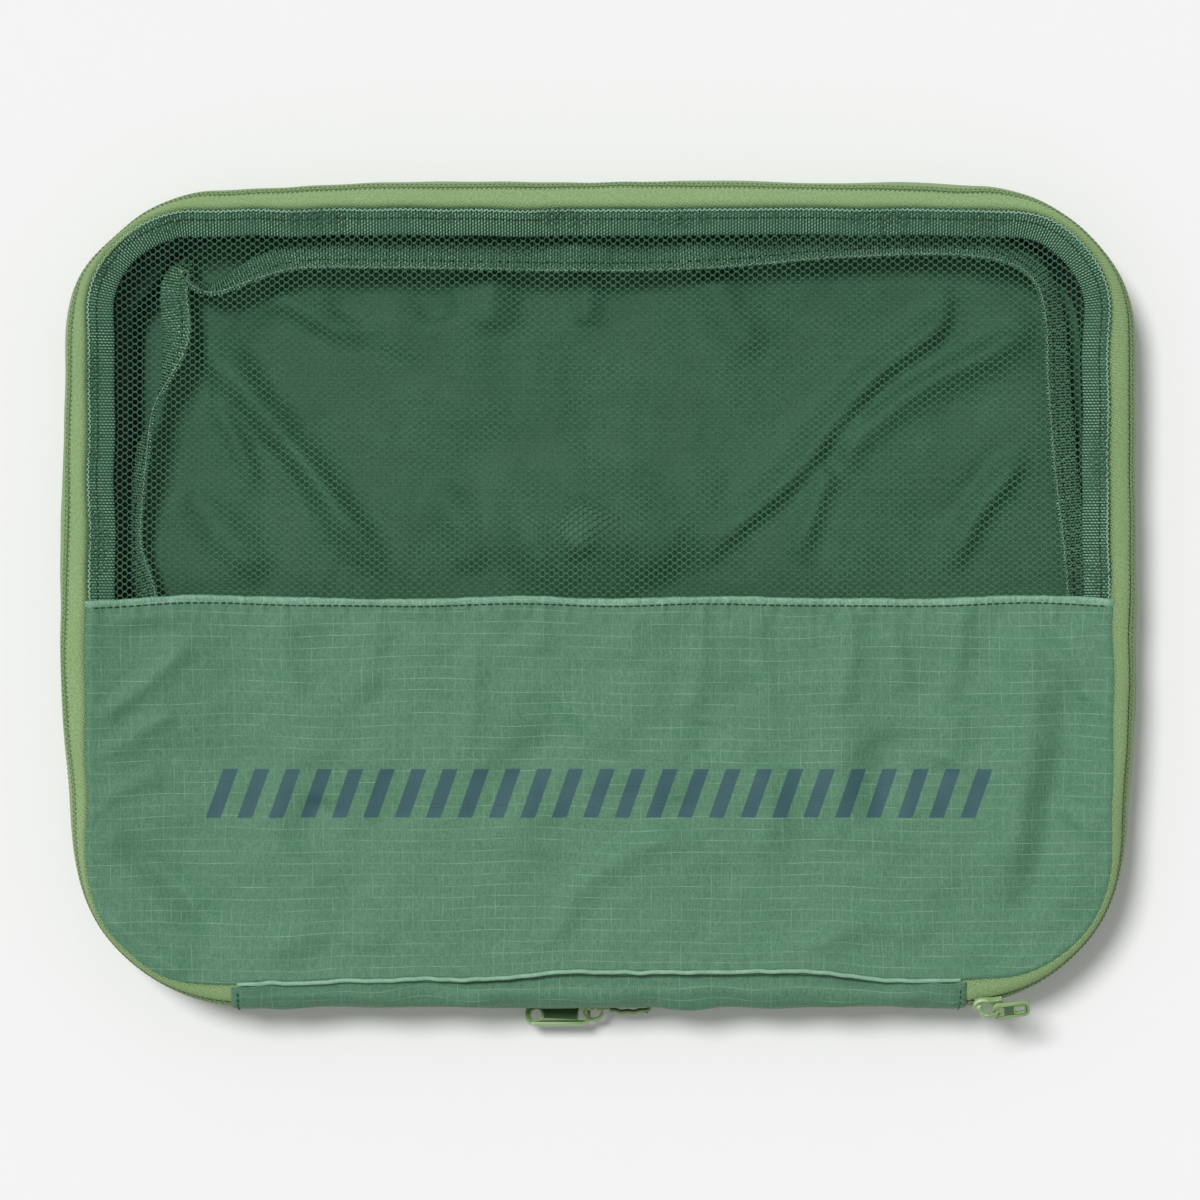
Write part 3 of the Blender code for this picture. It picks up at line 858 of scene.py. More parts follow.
def hinge_panel():
    """The strip that joins the lid to the front wall, flat over the tapes at both ends."""
    around = Wall(FRONT_SPACING)
    x = np.linspace(-HINGE_S, HINGE_S, HINGE_COLUMNS)
    ends = soft_step(np.abs(x), HINGE_S - 17, HINGE_S - 7)
    # The lid's seam draws away here, and leaves a groove.
    open_gap = soft_step(x, -75, -35) * (1 - soft_step(x, 88, 112))
    rows = []
    for share, inward in HINGE_PROFILE:
        row = front_row(around, MIDDLE * share, 0.0, x)
        tucked = front_row(around, MIDDLE * share, inward, x)
        sunk = np.where(inward > 0.5 and share < 0.5, 0.35 + 0.65 * open_gap, 1.0) * (1 - ends)
        row += (tucked - row) * sunk[:, None]
        lifted = HINGE_LAP * ends + 0.45 * waves(x, x * 0 + 40 * share, 26, 51, 7) * \
            math.sin(math.pi * share) * (1 - ends)
        # Gathers at both ends, where the panel is sewn over the zip's tapes.
        for end, reach in ((-1, 9.0), (1, 14.0)):
            near = np.exp(-((x - end * HINGE_S) / reach) ** 2)
            lifted = lifted + 0.3 * np.sin((x - end * HINGE_S) * 1.05) * near * \
                math.sin(math.pi * share)
        row[:, 1] -= lifted
        row[:, 2] += 0.4 * lifted
        rows.append(row)
    rows = np.array(rows)
    piece = lattice("hinge_panel", rows, ribbon_uv(rows) + np.array((1.3, 0.0)), "ripstop",
                    HINGE_THICKNESS)
    bends_with_lid(piece, "ripstop", "hinge_panel_upper", "hinge_panel_lower")
    # A row of stitches down each end.
    for side, name in ((1, "hinge_stitch_right"), (-1, "hinge_stitch_left")):
        levels = np.linspace(0.25, 1.86, 60)
        place = np.array((side * (HINGE_S - 2.2),))
        line = np.array([front_row(around, level, -HINGE_LAP - 0.1, place)[0] for level in levels])
        away = np.tile((0.0, -0.8, 0.6), (len(line), 1))
        line += away * 0.25
        bends_with_lid(stitches(name, line, away, 1.5, 0.5, 2.1, "dark_thread", lift=0.1),
                       "ripstop")
    return piece


hinge = hinge_panel()


# ---------------------------------------------------------------- the lid

FIELD = (SEAM_X, SEAM_Y, LEVELS[SEAM][2], LEVELS[SEAM][3])
TUCK = 0.8
LID_SHEET = 0.32
PANEL_SPACING = 1.3


def rim(x, y, field=FIELD):
    """Distance inside a rounded outline, outward direction, and the nearest place on it."""
    half_x, half_y, front, rear = field
    radius = np.where(y > 0, rear, front)
    dx = np.abs(x) - (half_x - radius)
    dy = np.abs(y) - (half_y - radius)
    corner = (dx > 0) & (dy > 0)
    size = np.maximum(np.hypot(dx, dy), 1e-9)
    nx = np.where(corner, dx / size, dx > dy) * np.sign(x)
    ny = np.where(corner, dy / size, dx <= dy) * np.sign(y)
    inside = rounded_edge(x, y, half_x, half_y, front, rear)
    return inside, nx, ny, x + nx * inside, y + ny * inside


# Soft folds of the two lid sheets: (places in mm, width, height, and lean if it has one).
PANEL_FOLDS = (
    (((148, -4), (151, -33), (147, -68), (138, -129)), 9.0, 2.6),
    (((168, -22), (160, -62), (148, -124)), 7.0, -1.5),
    (((-8, -40), (-22, -55), (-50, -84)), 9.0, -1.7),
    (((101, -46), (98, -66), (101, -84)), 7.0, -1.5),
    (((86, -40), (84, -62), (88, -86)), 7.0, 1.0),
    (((37, -44), (36, -58)), 6.0, -1.0),
    (((-98, -70), (-106, -92)), 8.0, -1.1),
    (((57, -58), (60, -74), (57, -98)), 7.0, 1.2),
    (((124, -40), (121, -62)), 7.0, 1.1),
    (((35, -2), (35, -24), (31, -46)), 4.0, 0.9),
    (((56, -2), (57, -20), (61, -44)), 3.6, 0.8),
    (((89, -2), (88, -22), (83, -46)), 4.2, 0.9),
    (((103, -2), (104, -18), (109, -38)), 3.6, 0.8),
    (((127, -2), (126, -18), (121, -40)), 4.0, 0.9),
    (((-44, -14), (-44, -38), (-47, -60)), 4.4, 0.9),
    (((-20, -4), (-22, -22)), 4.0, 0.6),
    (((12, -4), (10, -26)), 4.0, 0.6),
    (((-78, -4), (-80, -24), (-86, -40)), 5.0, 0.8),
    (((-112, -3), (-110, -22), (-104, -40)), 4.6, 0.7),
    (((-18, -128), (-6, -104), (17, -87), (42, -86)), 5.0, 1.1),
    (((-176, -44), (-158, -31), (-140, -15)), 3.4, 1.1),
    (((-176, -58), (-160, -48), (-146, -40)), 3.2, 0.9),
    (((-176, -72), (-162, -66), (-150, -62)), 3.0, 0.8),
    (((-172, -9), (-156, -8), (-140, -9)), 2.8, 0.9),
    (((-170, -84), (-150, -100), (-130, -121)), 5.0, -1.5),
    (((-174, -110), (-156, -124), (-140, -133)), 4.5, 1.3),
    (((-120, -126), (-96, -118), (-70, -122)), 5.0, 0.8),
    (((70, -128), (92, -116), (118, -120)), 5.0, 0.8),
    (((176, -40), (166, -30), (158, -14)), 3.0, 0.8),
    (((176, -84), (166, -78), (158, -70)), 3.0, 0.8),
)
NET_FOLDS = (
    (((-34, 8), (-10, 22), (20, 26)), 12.0, -1.4),
    (((-150, 60), (-120, 54), (-84, 60)), 9.0, -0.8),
    (((70, 96), (104, 84), (140, 92)), 9.0, 0.8),
)
FOLD_GAIN = 1.5
LID_SEED = 61


def lid_sag(y, inside):
    """How far the lid hangs below its seam, deepest in the middle."""
    depth = 4.0 + 5.0 * soft_step(y, -110, -5) + 4.5 * soft_step(y, -6, 40)
    depth = depth - 4.0 * soft_step(y, 60, 120)
    reach = 62 - 16 * soft_step(y, 20, 120)
    share = np.clip(inside / reach, 0, 1)
    return depth * (1 - (1 - share) ** 2)


def lid_place(x, y, folds):
    """Where a flat lid sheet's point goes: it follows the seam, sags and folds."""
    inside, nx, ny, bx, by = rim(x, y)
    near = np.exp(-np.maximum(inside, 0) / 16)
    drift = seam_drift(bx, by) * near
    z = SEAM_Z + seam_sag(bx, by) * near - lid_sag(y, inside)
    free = soft_step(inside, 1.0, 16.0)
    for points, width, height, *lean in folds:
        z = z + FOLD_GAIN * fold(x, y, points, width, height, *lean) * soft_step(inside, -0.5, 5.0)
    z = z + free * (0.55 * waves(x, y, 46, LID_SEED, 10)
                    + 0.22 * waves(x, y, 19, LID_SEED + 1, 12))
    z = z + soft_step(inside, 0.3, 3.0) * 0.055 * waves(x, y, 7.5, LID_SEED + 2, 14)
    # Puckers that the sewing draws in along the seam.
    along = bx * np.abs(ny) + by * np.abs(nx)
    pucker = np.sin(along * 0.95 + 1.6 * np.sin(along * 0.11)) * (0.5 + 0.5 * np.sin(along * 0.05))
    z = z + 0.22 * pucker * np.exp(-((inside - 3.2) / 2.6) ** 2)
    # The edge dips where it goes under the tape.
    z = z - 1.35 * (1 - soft_step(inside, -TUCK, 1.7))
    return np.stack((x + nx * drift, y + ny * drift, z), -1)


def panel_grid(spacing):
    """Rows across the lid's front half, from the front seam to the hem, tucked under the tape."""
    half_x, half_y, front, _ = FIELD
    half_x, half_y, front = half_x + TUCK, half_y + TUCK, front + TUCK
    turn = np.linspace(0, 0.5 * math.pi, int(front * 0.5 * math.pi / spacing))
    rows = list(zip(-half_y + front * (1 - np.cos(turn)), half_x - front + front * np.sin(turn)))
    straight = np.arange(-half_y + front + spacing, WINDOW_EDGE - 0.5 * spacing, spacing)
    rows += [(y, half_x) for y in straight]
    rows.append((WINDOW_EDGE, half_x))
    columns = int(2 * half_x / spacing)
    share = np.linspace(-1, 1, columns)
    y = np.array([row[0] for row in rows])
    reach = np.array([row[1] for row in rows])
    return share[None] * reach[:, None], np.repeat(y[:, None], columns, 1)


HEM_STITCH_Y = -2.55
# The hem's doubled edge: (distance below the edge, height over the panel).
HEM_PROFILE = ((0.35, -0.75), (0.0, -0.35), (-0.18, 0.15), (0.05, 0.62), (0.5, 0.86), (1.0, 0.84),
               (1.5, 0.66), (2.0, 0.42), (2.35, 0.18), (2.6, -0.05), (3.1, -0.30))


def hem_wander(x, y):
    return 0.5 * waves(x, x * 0, 70, 66, 6) * soft_step(y, -14, -1)


def front_place(x, y):
    """A point of the lid's front panel, with the puckers under its hem."""
    places = lid_place(x, y, PANEL_FOLDS)
    below = WINDOW_EDGE - y
    pucker = 0.30 * np.sin(x * 2 * math.pi / 7.1 + 1.1 * np.sin(x * 0.07))
    pucker = pucker + 0.24 * np.sin(x * 2 * math.pi / 4.3 + 1.4 * np.sin(x * 0.13))
    places[..., 2] += pucker * np.exp(-((below - 4.6) / 2.8) ** 2)
    places[..., 1] += hem_wander(x, y)
    return places


def lid_front():
    """The lid's front half in ripstop, printed on its outer side."""
    x, y = panel_grid(PANEL_SPACING)
    places = front_place(x, y)
    piece = lattice("lid_panel_cloth", places, np.stack((x, y), -1), "lid", LID_SHEET, flip=True,
                    inner="ripstop")
    rides(piece, "lid", "ripstop", "lid_panel")


def lid_hem():
    """The hem's rolled edge, with the small puckers that its stitches draw in."""
    x = np.linspace(-SEAM_X - 0.3, SEAM_X + 0.3, 760)
    pinch = np.sin(x * 2 * math.pi / 2.5 + 0.8 * np.sin(x * 0.19))
    slow = waves(x, x * 0, 11, 67, 8)
    rows, uv = [], []
    for below, lift in HEM_PROFILE:
        y = np.full_like(x, WINDOW_EDGE - below)
        row = front_place(x, y)
        row[:, 2] += lift + (0.10 * pinch * soft_step(below, 0.3, 2.2) + 0.12 * slow) * (lift > 0)
        row[:, 1] += 0.10 * slow * (below < 0.6) + 0.06 * pinch * (below > 1.8)
        rows.append(row)
        uv.append(np.column_stack((x, y + 0.9)))
    # The hem's paler ripstop is painted highlight on the rolled edge.
    piece = lattice("lid_hem", np.array(rows), np.array(uv), "hem")
    rides(piece, "lid", "ripstop")
    line = front_place(x[6:-6], np.full_like(x[6:-6], WINDOW_EDGE + HEM_STITCH_Y))
    line[:, 2] += 0.16
    up = np.tile((0.0, -0.25, 1.0), (len(line), 1))
    sewn = stitches("hem_stitches", line, unit(up), 1.95, 0.55, 2.5, "dark_thread", lift=0.08)
    rides(sewn, "lid", "ripstop")


def lid_front_edge():
    """The panel's turned edge that stands up along the hinge."""
    x = np.linspace(-HINGE_S + 2, HINGE_S - 2, 420)
    line = front_row(Wall(FRONT_SPACING), SEAM, 0.0, x)
    ends = soft_step(HINGE_S - 2 - np.abs(x), 0, 8)
    line[:, 1] += 0.35 + 0.10 * waves(x, x * 0, 9, 131, 8)
    line[:, 2] += -0.55 + 0.55 * ends + 0.16 * waves(x, x * 0, 6, 132, 9) * ends
    # Its paler ripstop is painted highlight.
    piece = sweep("lid_front_edge", line, np.tile((0, 1.0, 0), (len(x), 1)), ring(0.75, 0.42, 8),
                  "edge")
    rides(piece, "lid", "ripstop")


lid_front()
lid_hem()
lid_front_edge()


# ---------------------------------------------------------------- the net window

CELL_X = 1.66
CELL_Y = 1.2
POINT_X = 1.11
SIDE_X = 0.55
HOLE = ((0.98, 0.0), (0.50, 0.90), (-0.50, 0.90), (-0.98, 0.0), (-0.50, -0.90), (0.50, -0.90))
STRAND_DROP = 0.13
NET_LAP = 3.4
SLIVER = 0.03


def net_window():
    """The lid's rear half: six-sided cells, with a thread between each two holes."""
    low_y = WINDOW_EDGE - NET_LAP
    columns = int(2 * (SEAM_X + TUCK) / CELL_X) + 3
    rows = int((SEAM_Y + TUCK - low_y) / (2 * CELL_Y)) + 3
    column, row = np.meshgrid(np.arange(columns), np.arange(rows), indexing="ij")
    cx = (column - columns // 2) * CELL_X
    cy = low_y + (2 * row + column % 2) * CELL_Y
    centres = np.stack((cx.ravel(), cy.ravel()), 1)
    inside = rim(*centres.T)[0]
    centres = centres[inside > -TUCK - 0.6]
    outer = np.array(((POINT_X, 0), (SIDE_X, CELL_Y), (-SIDE_X, CELL_Y), (-POINT_X, 0),
                      (-SIDE_X, -CELL_Y), (SIDE_X, -CELL_Y)))
    corners = centres[:, None] + outer[None]
    keys = np.round(corners.reshape(-1, 2) * 100).astype(np.int64)
    _, first, index = np.unique(keys, axis=0, return_index=True, return_inverse=True)
    shared = corners.reshape(-1, 2)[first]
    index = index.reshape(-1, 6)
    wobble = random_of(71).uniform(-0.05, 0.05, (len(centres), 6, 2))
    holes = centres[:, None] + np.array(HOLE)[None] + wobble
    points = np.concatenate((shared, holes.reshape(-1, 2)))
    inside, nx, ny, _, _ = rim(*points.T)
    over = np.minimum(inside + TUCK, 0)
    points = points + np.stack((nx, ny), 1) * over[:, None]
    places = lid_place(points[:, 0], points[:, 1], NET_FOLDS)
    near_hem = 1 - soft_step(points[:, 1], WINDOW_EDGE, WINDOW_EDGE + 9.0)
    places[:, 1] += hem_wander(points[:, 0], points[:, 1] * 0 - 1) * near_hem
    places[:, 2] -= 1.3 * near_hem
    places[len(shared):, 2] -= STRAND_DROP
    start = len(shared) + np.arange(len(centres))[:, None] * 6
    faces = []
    for side in range(6):
        following = (side + 1) % 6
        faces.append(np.concatenate((index[:, side, None], index[:, following, None],
                                     start + following, start + side), 1))
    faces = np.concatenate(faces)
    # Cells pressed flat against the seam leave slivers, which are dropped.
    a, b, c, d = (places[faces[:, k], :2] for k in range(4))
    area = 0.5 * np.abs((c - a)[:, 0] * (d - b)[:, 1] - (c - a)[:, 1] * (d - b)[:, 0])
    faces = faces[area > SLIVER]
    used, renumbered = np.unique(faces, return_inverse=True)
    piece = mesh_of("net_window", places[used], renumbered.reshape(-1, 4), "net", points[used])
    rides(piece, "lid", "mesh", "mesh_window")


net_window()


# ---------------------------------------------------------------- the back panel inside

# Folds of the back panel: (places in mm, width, height, and lean if it has one).
BACK_FOLDS = (
    (((-141, 94), (-121, 67), (-102, 44), (-88, 25), (-73, 4)), 6.0, 4.2, -0.25),
    (((-148, 92), (-129, 64), (-110, 41), (-96, 22)), 4.0, -1.6),
    (((-139, 95), (-134, 68), (-126, 50), (-121, 34)), 3.4, 1.6),
    (((-132, 92), (-118, 70), (-106, 58)), 3.2, 1.3),
    (((-121, 101), (-105, 90), (-86, 81), (-56, 78)), 5.5, -2.2),
    (((-118, 108), (-100, 98), (-80, 90)), 5.0, 1.6),
    (((-60, 62), (-30, 66), (4, 58)), 12.0, 2.4),
    (((-40, 10), (-12, 24), (18, 22), (34, 8)), 17.0, 9.0),
    (((-4, 34), (-8, 22), (-5, 12)), 4.5, 2.2),
    (((123, 112), (121, 96), (100, 79), (83, 60), (69, 42), (46, 21), (28, 4)), 4.6, 3.4, -0.35),
    (((129, 108), (126, 92), (105, 74), (90, 58), (75, 40)), 3.6, -1.8),
    (((158, 100), (138, 86), (117, 76), (99, 65), (88, 53), (93, 42)), 5.0, 3.4, 0.25),
    (((84, 46), (79, 36), (75, 25), (69, 10)), 4.0, 2.2, -0.3),
    (((153, 52), (139, 34), (131, 22), (124, 4)), 5.0, 2.6, -0.35),
    (((146, 56), (132, 38), (122, 24)), 4.0, -1.2),
    (((-88, 118), (-88, 106), (-86, 96)), 5.0, -1.8),
    (((-58, 118), (-58, 105), (-56, 96)), 5.5, -2.0),
    (((-21, 118), (-21, 104), (-20, 92)), 6.5, -2.6),
    (((10, 118), (10, 105), (9, 96)), 5.0, -1.8),
    (((-38, 118), (-38, 104), (-38, 92)), 6.0, 1.8),
    (((-4, 118), (-4, 104), (-4, 94)), 5.0, 1.6),
    (((40, 116), (46, 98), (58, 84)), 7.0, 2.0),
    (((-150, 40), (-132, 22), (-118, 4)), 7.0, 2.0),
    (((-60, 40), (-48, 24), (-44, 6)), 7.0, 1.8),
)
BACK_FOLD_GAIN = 2.3
BROAD_FOLD = 10.0
BACK_SPACING = 1.9
ROOF_GAP = 0.7
BACK_REST = 0.9
BACK_SHEET = 0.35
BACK_X = WALL_X - 3.6
BACK_Y = WALL_Y - 3.6
BACK_CORNER = 60.0


def back_panel():
    """The back panel's inside, creased, never closer to the net than a small gap."""
    turn = np.linspace(0, 0.5 * math.pi, int(BACK_CORNER * 0.5 * math.pi / BACK_SPACING))
    rows = list(zip(-BACK_Y + BACK_CORNER * (1 - np.cos(turn)),
                    BACK_X - BACK_CORNER * (1 - np.sin(turn))))
    low = -BACK_Y + BACK_CORNER
    rows += [(y, BACK_X) for y in np.linspace(low, -low, int(-2 * low / BACK_SPACING))[1:-1]]
    rows += [(-y, reach) for y, reach in reversed(rows[:len(turn)])]
    share = np.linspace(-1, 1, int(2 * BACK_X / BACK_SPACING))
    y = np.array([row[0] for row in rows])[:, None] * np.ones_like(share)[None]
    x = np.array([row[1] for row in rows])[:, None] * share[None]
    inside, nx, ny, bx, by = rim(x, y, (BACK_X, BACK_Y, BACK_CORNER, BACK_CORNER))
    drawn = wall_bow(bx.ravel(), by.ravel(), np.stack((nx.ravel(), ny.ravel()), 1))
    drawn = (drawn.reshape(x.shape) + 0.5) * np.exp(-np.maximum(inside, 0) / 16)
    free = soft_step(inside, 6, 34)
    z = BACK_REST + free * (1.2 + 1.0 * waves(x, y, 70, 91, 9) + 0.45 * waves(x, y, 26, 92, 12)
                            + 0.10 * waves(x, y, 9, 93, 12))
    for points, width, height, *lean in BACK_FOLDS:
        gain = BACK_FOLD_GAIN if width < BROAD_FOLD else 1.0
        z = z + gain * fold(x, y, points, width, height, *lean) * soft_step(inside, 2, 16)
    roof = lid_place(x, y, NET_FOLDS)[..., 2] - ROOF_GAP
    z = np.where(z > roof - 1.0, roof - np.exp(np.minimum(roof - 1.0 - z, 0)), z)
    low = 0.35 + BACK_SHEET
    z = np.where(z > low + 0.6, z, low + 0.6 * np.exp(np.minimum(z - low - 0.6, 0) / 0.6))
    places = np.stack((x - nx * drawn, y - ny * drawn, z), -1)
    # The darker inner ripstop is painted shade.
    piece = lattice("back_panel_cloth", places, np.stack((x, y), -1), "inner", BACK_SHEET,
                    flip=True)
    rides(piece, "base", "ripstop", "back_panel")


back_panel()


# ---------------------------------------------------------------- gusset and bindings

# The gusset's two folded-in pleats: (share of its height, how far in from the wall).
GUSSET_PROFILE = ((-0.12, 4.8), (-0.06, 2.6), (0.0, 2.0), (0.03, 3.0), (0.10, 9.0), (0.17, 14.4),
                  (0.25, 15.6), (0.33, 14.0), (0.42, 7.0), (0.5, 5.2), (0.58, 7.0), (0.67, 13.4),
                  (0.75, 15.0), (0.83, 13.8), (0.90, 8.8), (0.97, 3.2), (1.0, 1.3))
GUSSET_FIRST = BOTTOM - 0.06
GUSSET_LAST = MIDDLE + 0.10
GUSSET_THICKNESS = 0.3
GUSSET_LOW_Z = 2.6
GUSSET_HIGH_Z = 15.6


def gusset():
    """The pleated cloth behind the compression zip, which the expansion pulls straight."""
    around = Wall(GUSSET_SPACING)
    rows = []
    for share, inward in GUSSET_PROFILE:
        level = GUSSET_FIRST + (GUSSET_LAST - GUSSET_FIRST) * share
        height = GUSSET_LOW_Z + (GUSSET_HIGH_Z - GUSSET_LOW_Z) * share
        line = around.at(min(level, float(BOTTOM)))
        left = 1 + 0.55 * soft_step(-around.normal[:, 0], 0.2, 0.9)
        line = line - np.column_stack((around.normal, around.normal[:, 0] * 0)) * \
            (inward * left)[:, None]
        line[:, 2] = height + 0.35 * waves(line[:, 0], line[:, 1], 40, 101, 6) * \
            math.sin(math.pi * max(share, 0.0))
        rows.append(line)
    rows = closed_rows(np.array(rows))
    # Its near-black cloth, pleated in over the gap between the bindings, is painted shade.
    piece = lattice("gusset_cloth", rows, ribbon_uv(rows), "gusset", GUSSET_THICKNESS,
                    flip=True)
    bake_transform(piece)
    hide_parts("expansion_gusset")


gusset()

RIB_PITCH = 1.18
RIBBON_THICKNESS = 0.6
LID_BINDING_WIDTH = 9.4
LID_BINDING_INSET = 5.35
INNER_BINDING_WIDTH = 10.2
RUN_STEPS = 40


def even_loop(line, spacing):
    """A closed line resampled evenly, with a whole number of points."""
    closed = np.concatenate((line, line[:1]))
    travelled = lengths_along(closed)
    count = 2 * int(travelled[-1] / (2 * spacing))
    places = np.arange(count) * travelled[-1] / count
    return along_line(places, travelled, closed)


def ribbon(name, centre, across, width, material="binding"):
    """A ribbed woven tape: centre line (n, 3) closed, across its width direction at each point."""
    ahead = unit(np.roll(centre, -1, 0) - np.roll(centre, 1, 0))
    across = unit(across)
    up = unit(np.cross(ahead, across))
    up = np.where(up[:, 2:] < 0, -up, up)
    ribs = (np.arange(len(centre)) % 2 * 2 - 1)[:, None] * 0.17
    profile = ((-0.5, -0.25), (-0.47, 0.10), (-0.36, 0.30), (0.0, 0.12), (0.36, 0.30),
               (0.47, 0.10), (0.5, -0.25))
    ends = 0.22 * (np.arange(len(centre)) % 2)[:, None]
    rows = []
    for share, lift in profile:
        reach = share * width + np.sign(share) * (ends if abs(share) > 0.46 else 0)
        rows.append(centre + across * reach + up * (lift + ribs * (abs(share) < 0.45)))
    rows = closed_rows(np.array(rows))
    faces_up = np.mean(np.cross(rows[1, 1] - rows[1, 0], rows[2, 0] - rows[1, 0])[2]) > 0
    return lattice(name, rows, ribbon_uv(rows), material, RIBBON_THICKNESS, flip=faces_up), up


def lid_binding():
    """The woven tape inside the lid's seam, with its stitches and its zigzag edge."""
    line = even_loop(Wall(BINDING_SPACING).at(SEAM), 0.5 * RIB_PITCH)
    _, nx, ny, _, _ = rim(line[:, 0], line[:, 1])
    across = np.column_stack((nx, ny, np.full(len(line), 0.24)))
    centre = line - np.column_stack((nx, ny, nx * 0)) * LID_BINDING_INSET
    drop = 2.35 + 1.25 * (1 - soft_step(line[:, 1], -8, 4))
    centre[:, 2] = line[:, 2] - drop + 0.3 * waves(line[:, 0], line[:, 1], 34, 111, 8)
    piece, up = ribbon("lid_binding", centre, across, LID_BINDING_WIDTH)
    rides(piece, "lid", "binding", "lid_seam_binding")
    edge = centre + unit(across) * 1.4 + up * 0.36
    sewn = stitches("lid_binding_stitches", edge, up, 1.9, 0.5, 2.4, "dark_thread")
    rides(sewn, "lid", "binding")
    zigzag_edge("lid_binding_zigzag", centre, unit(across), up, 4.25, "lid")


def zigzag_edge(name, centre, across, up, reach, body):
    """A thread that zigzags over one edge of a ribbon."""
    swing = 0.42 * np.cos(np.arange(len(centre)) * 2 * math.pi / 3)[:, None]
    path = centre + across * (reach + swing) + up * 0.70
    thread = sweep(name, path, across, ring(0.27, 0.22, 4), "light_thread", closed=True)
    rides(thread, body, "binding")


# The inner binding's run round the back seam, flopped inward: (x, y, height, tilt in degrees).
INNER_RUN = (
    (0, -122, 8.0, 20), (60, -124, 8.0, 22), (118, -121, 8.0, 25), (152, -104, 8.2, 30),
    (166, -66, 8.4, 34), (170, -24, 9.0, 28), (169, 6, 9.6, 24), (165, 44, 10.0, 22),
    (162, 76, 11.4, 26), (161, 94, 12.6, 34), (157, 110, 13.6, 40), (146, 120, 15.0, 26),
    (122, 124, 16.0, 10), (82, 123.0, 16.0, 4), (40, 119.5, 16.0, 4), (0, 118.5, 16.0, 4),
    (-40, 119, 16.0, 4), (-78, 119.5, 16.0, 6), (-106, 119, 15.6, 16), (-122, 114, 14.6, 36),
    (-135, 108, 13.6, 60), (-143, 110, 12.6, 66), (-147, 116, 13.0, 40), (-149.5, 106, 14.4, 4),
    (-148.5, 92, 14.6, 12), (-152, 78, 13.8, 60), (-156.5, 66, 13.0, 80), (-161, 50, 12.4, 52),
    (-165, 32, 11.4, 20), (-165.5, 16, 10.6, 14), (-160, -6, 9.0, 24), (-163, -52, 8.4, 30),
    (-158, -90, 8.2, 30), (-134, -116, 8.0, 26), (-70, -123, 8.0, 22),
)


def back_binding():
    """The woven tape on the back seam, standing inside the cube."""
    run = np.array(INNER_RUN, float)
    looped = np.concatenate((run[-2:], run, run[:3]))
    fine = smooth_line(looped, RUN_STEPS)[2 * RUN_STEPS:-2 * RUN_STEPS]
    # The run's end laps its start, so it is cut where the two meet.
    end = np.argmin(np.linalg.norm(fine[-200:, :2] - fine[0, :2], axis=1)) + len(fine) - 200
    fine = fine[:end]
    line = even_loop(fine[:, :3], 0.5 * RIB_PITCH)
    travelled = lengths_along(np.concatenate((fine[:, :3], fine[:1, :3])))[:-1]
    places = np.arange(len(line)) * travelled[-1] / len(line)
    tilt = np.radians(np.interp(places, travelled, fine[:, 3]))
    ahead = unit(np.roll(line, -1, 0) - np.roll(line, 1, 0))
    out = np.column_stack((ahead[:, 1], -ahead[:, 0], ahead[:, 0] * 0))
    # The outer edge stays low, where it is sewn to the seam, and the inner edge stands up.
    across = unit(out * np.cos(tilt)[:, None] - np.array((0, 0, 1.0)) * np.sin(tilt)[:, None])
    line[:, 2] += 0.4 * waves(line[:, 0], line[:, 1], 30, 121, 8)
    # Its brighter binding is painted light against the shade under the net.
    piece, up = ribbon("back_binding", line, across, INNER_BINDING_WIDTH, "inner_binding_painted_light")
    rides(piece, "base", "binding", "back_seam_binding")
    sewn = stitches("back_binding_stitches", line + across * -1.9 + up * 0.36, up, 1.9, 0.5, 2.4,
                    "dark_thread")
    rides(sewn, "base", "binding")
    zigzag_edge("back_binding_zigzag", line, across, up, -4.5, "base")


lid_binding()
back_binding()


# ---------------------------------------------------------------- sliders and pulls

def place_in(piece, origin, along, across, away):
    """Turns a mesh built in millimetres round its own origin into its place."""
    turn = Matrix((along, across, away)).transposed().to_4x4()
    piece.data.transform(Matrix.Translation(Vector(origin) * MM) @ turn)
    piece.data.update()


def bevelled(piece, width):
    bevel = piece.modifiers.new("edges", "BEVEL")
    bevel.width = width * MM
    bevel.segments = 2
    bevel.limit_method = "ANGLE"
    bevel.angle_limit = math.radians(40)
    apply_modifiers(piece)
    piece.data.shade_smooth()
    piece.data.set_sharp_from_angle(angle=math.radians(45))


def joint_place(name):
    for joint in frame["record"]["behaviour"]["joints"]:
        if joint["name"] == name:
            return np.array(joint["pos_m"]) / MM
    raise KeyError(name)


SLIDER_LENGTH = 11.0
PLATE_LOW = 0.55
PLATE_HIGH = 1.55
PIVOT_X = -1.6
PIVOT_Z = 4.1
INNER_LOW = -5.0
INNER_HIGH = -4.1


def slider_outline(grow=0.0):
    """The plate from above: wide round shoulders at the closed end, a waist, a rounded tail."""
    half = 0.5 * SLIDER_LENGTH
    places = np.array(((half, 0.0), (half - 0.25, 1.9), (half - 1.3, 3.2), (half - 3.0, 3.7),
                       (half - 5.2, 3.25), (half - 7.4, 2.85), (-half + 1.2, 2.95),
                       (-half + 0.3, 2.2), (-half, 0.0)))
    upper = smooth_line(places, 5)
    loop = np.concatenate((upper, (upper * (1, -1))[-2:0:-1]))
    middle = loop.mean(axis=0)
    return loop + unit(loop - middle) * grow


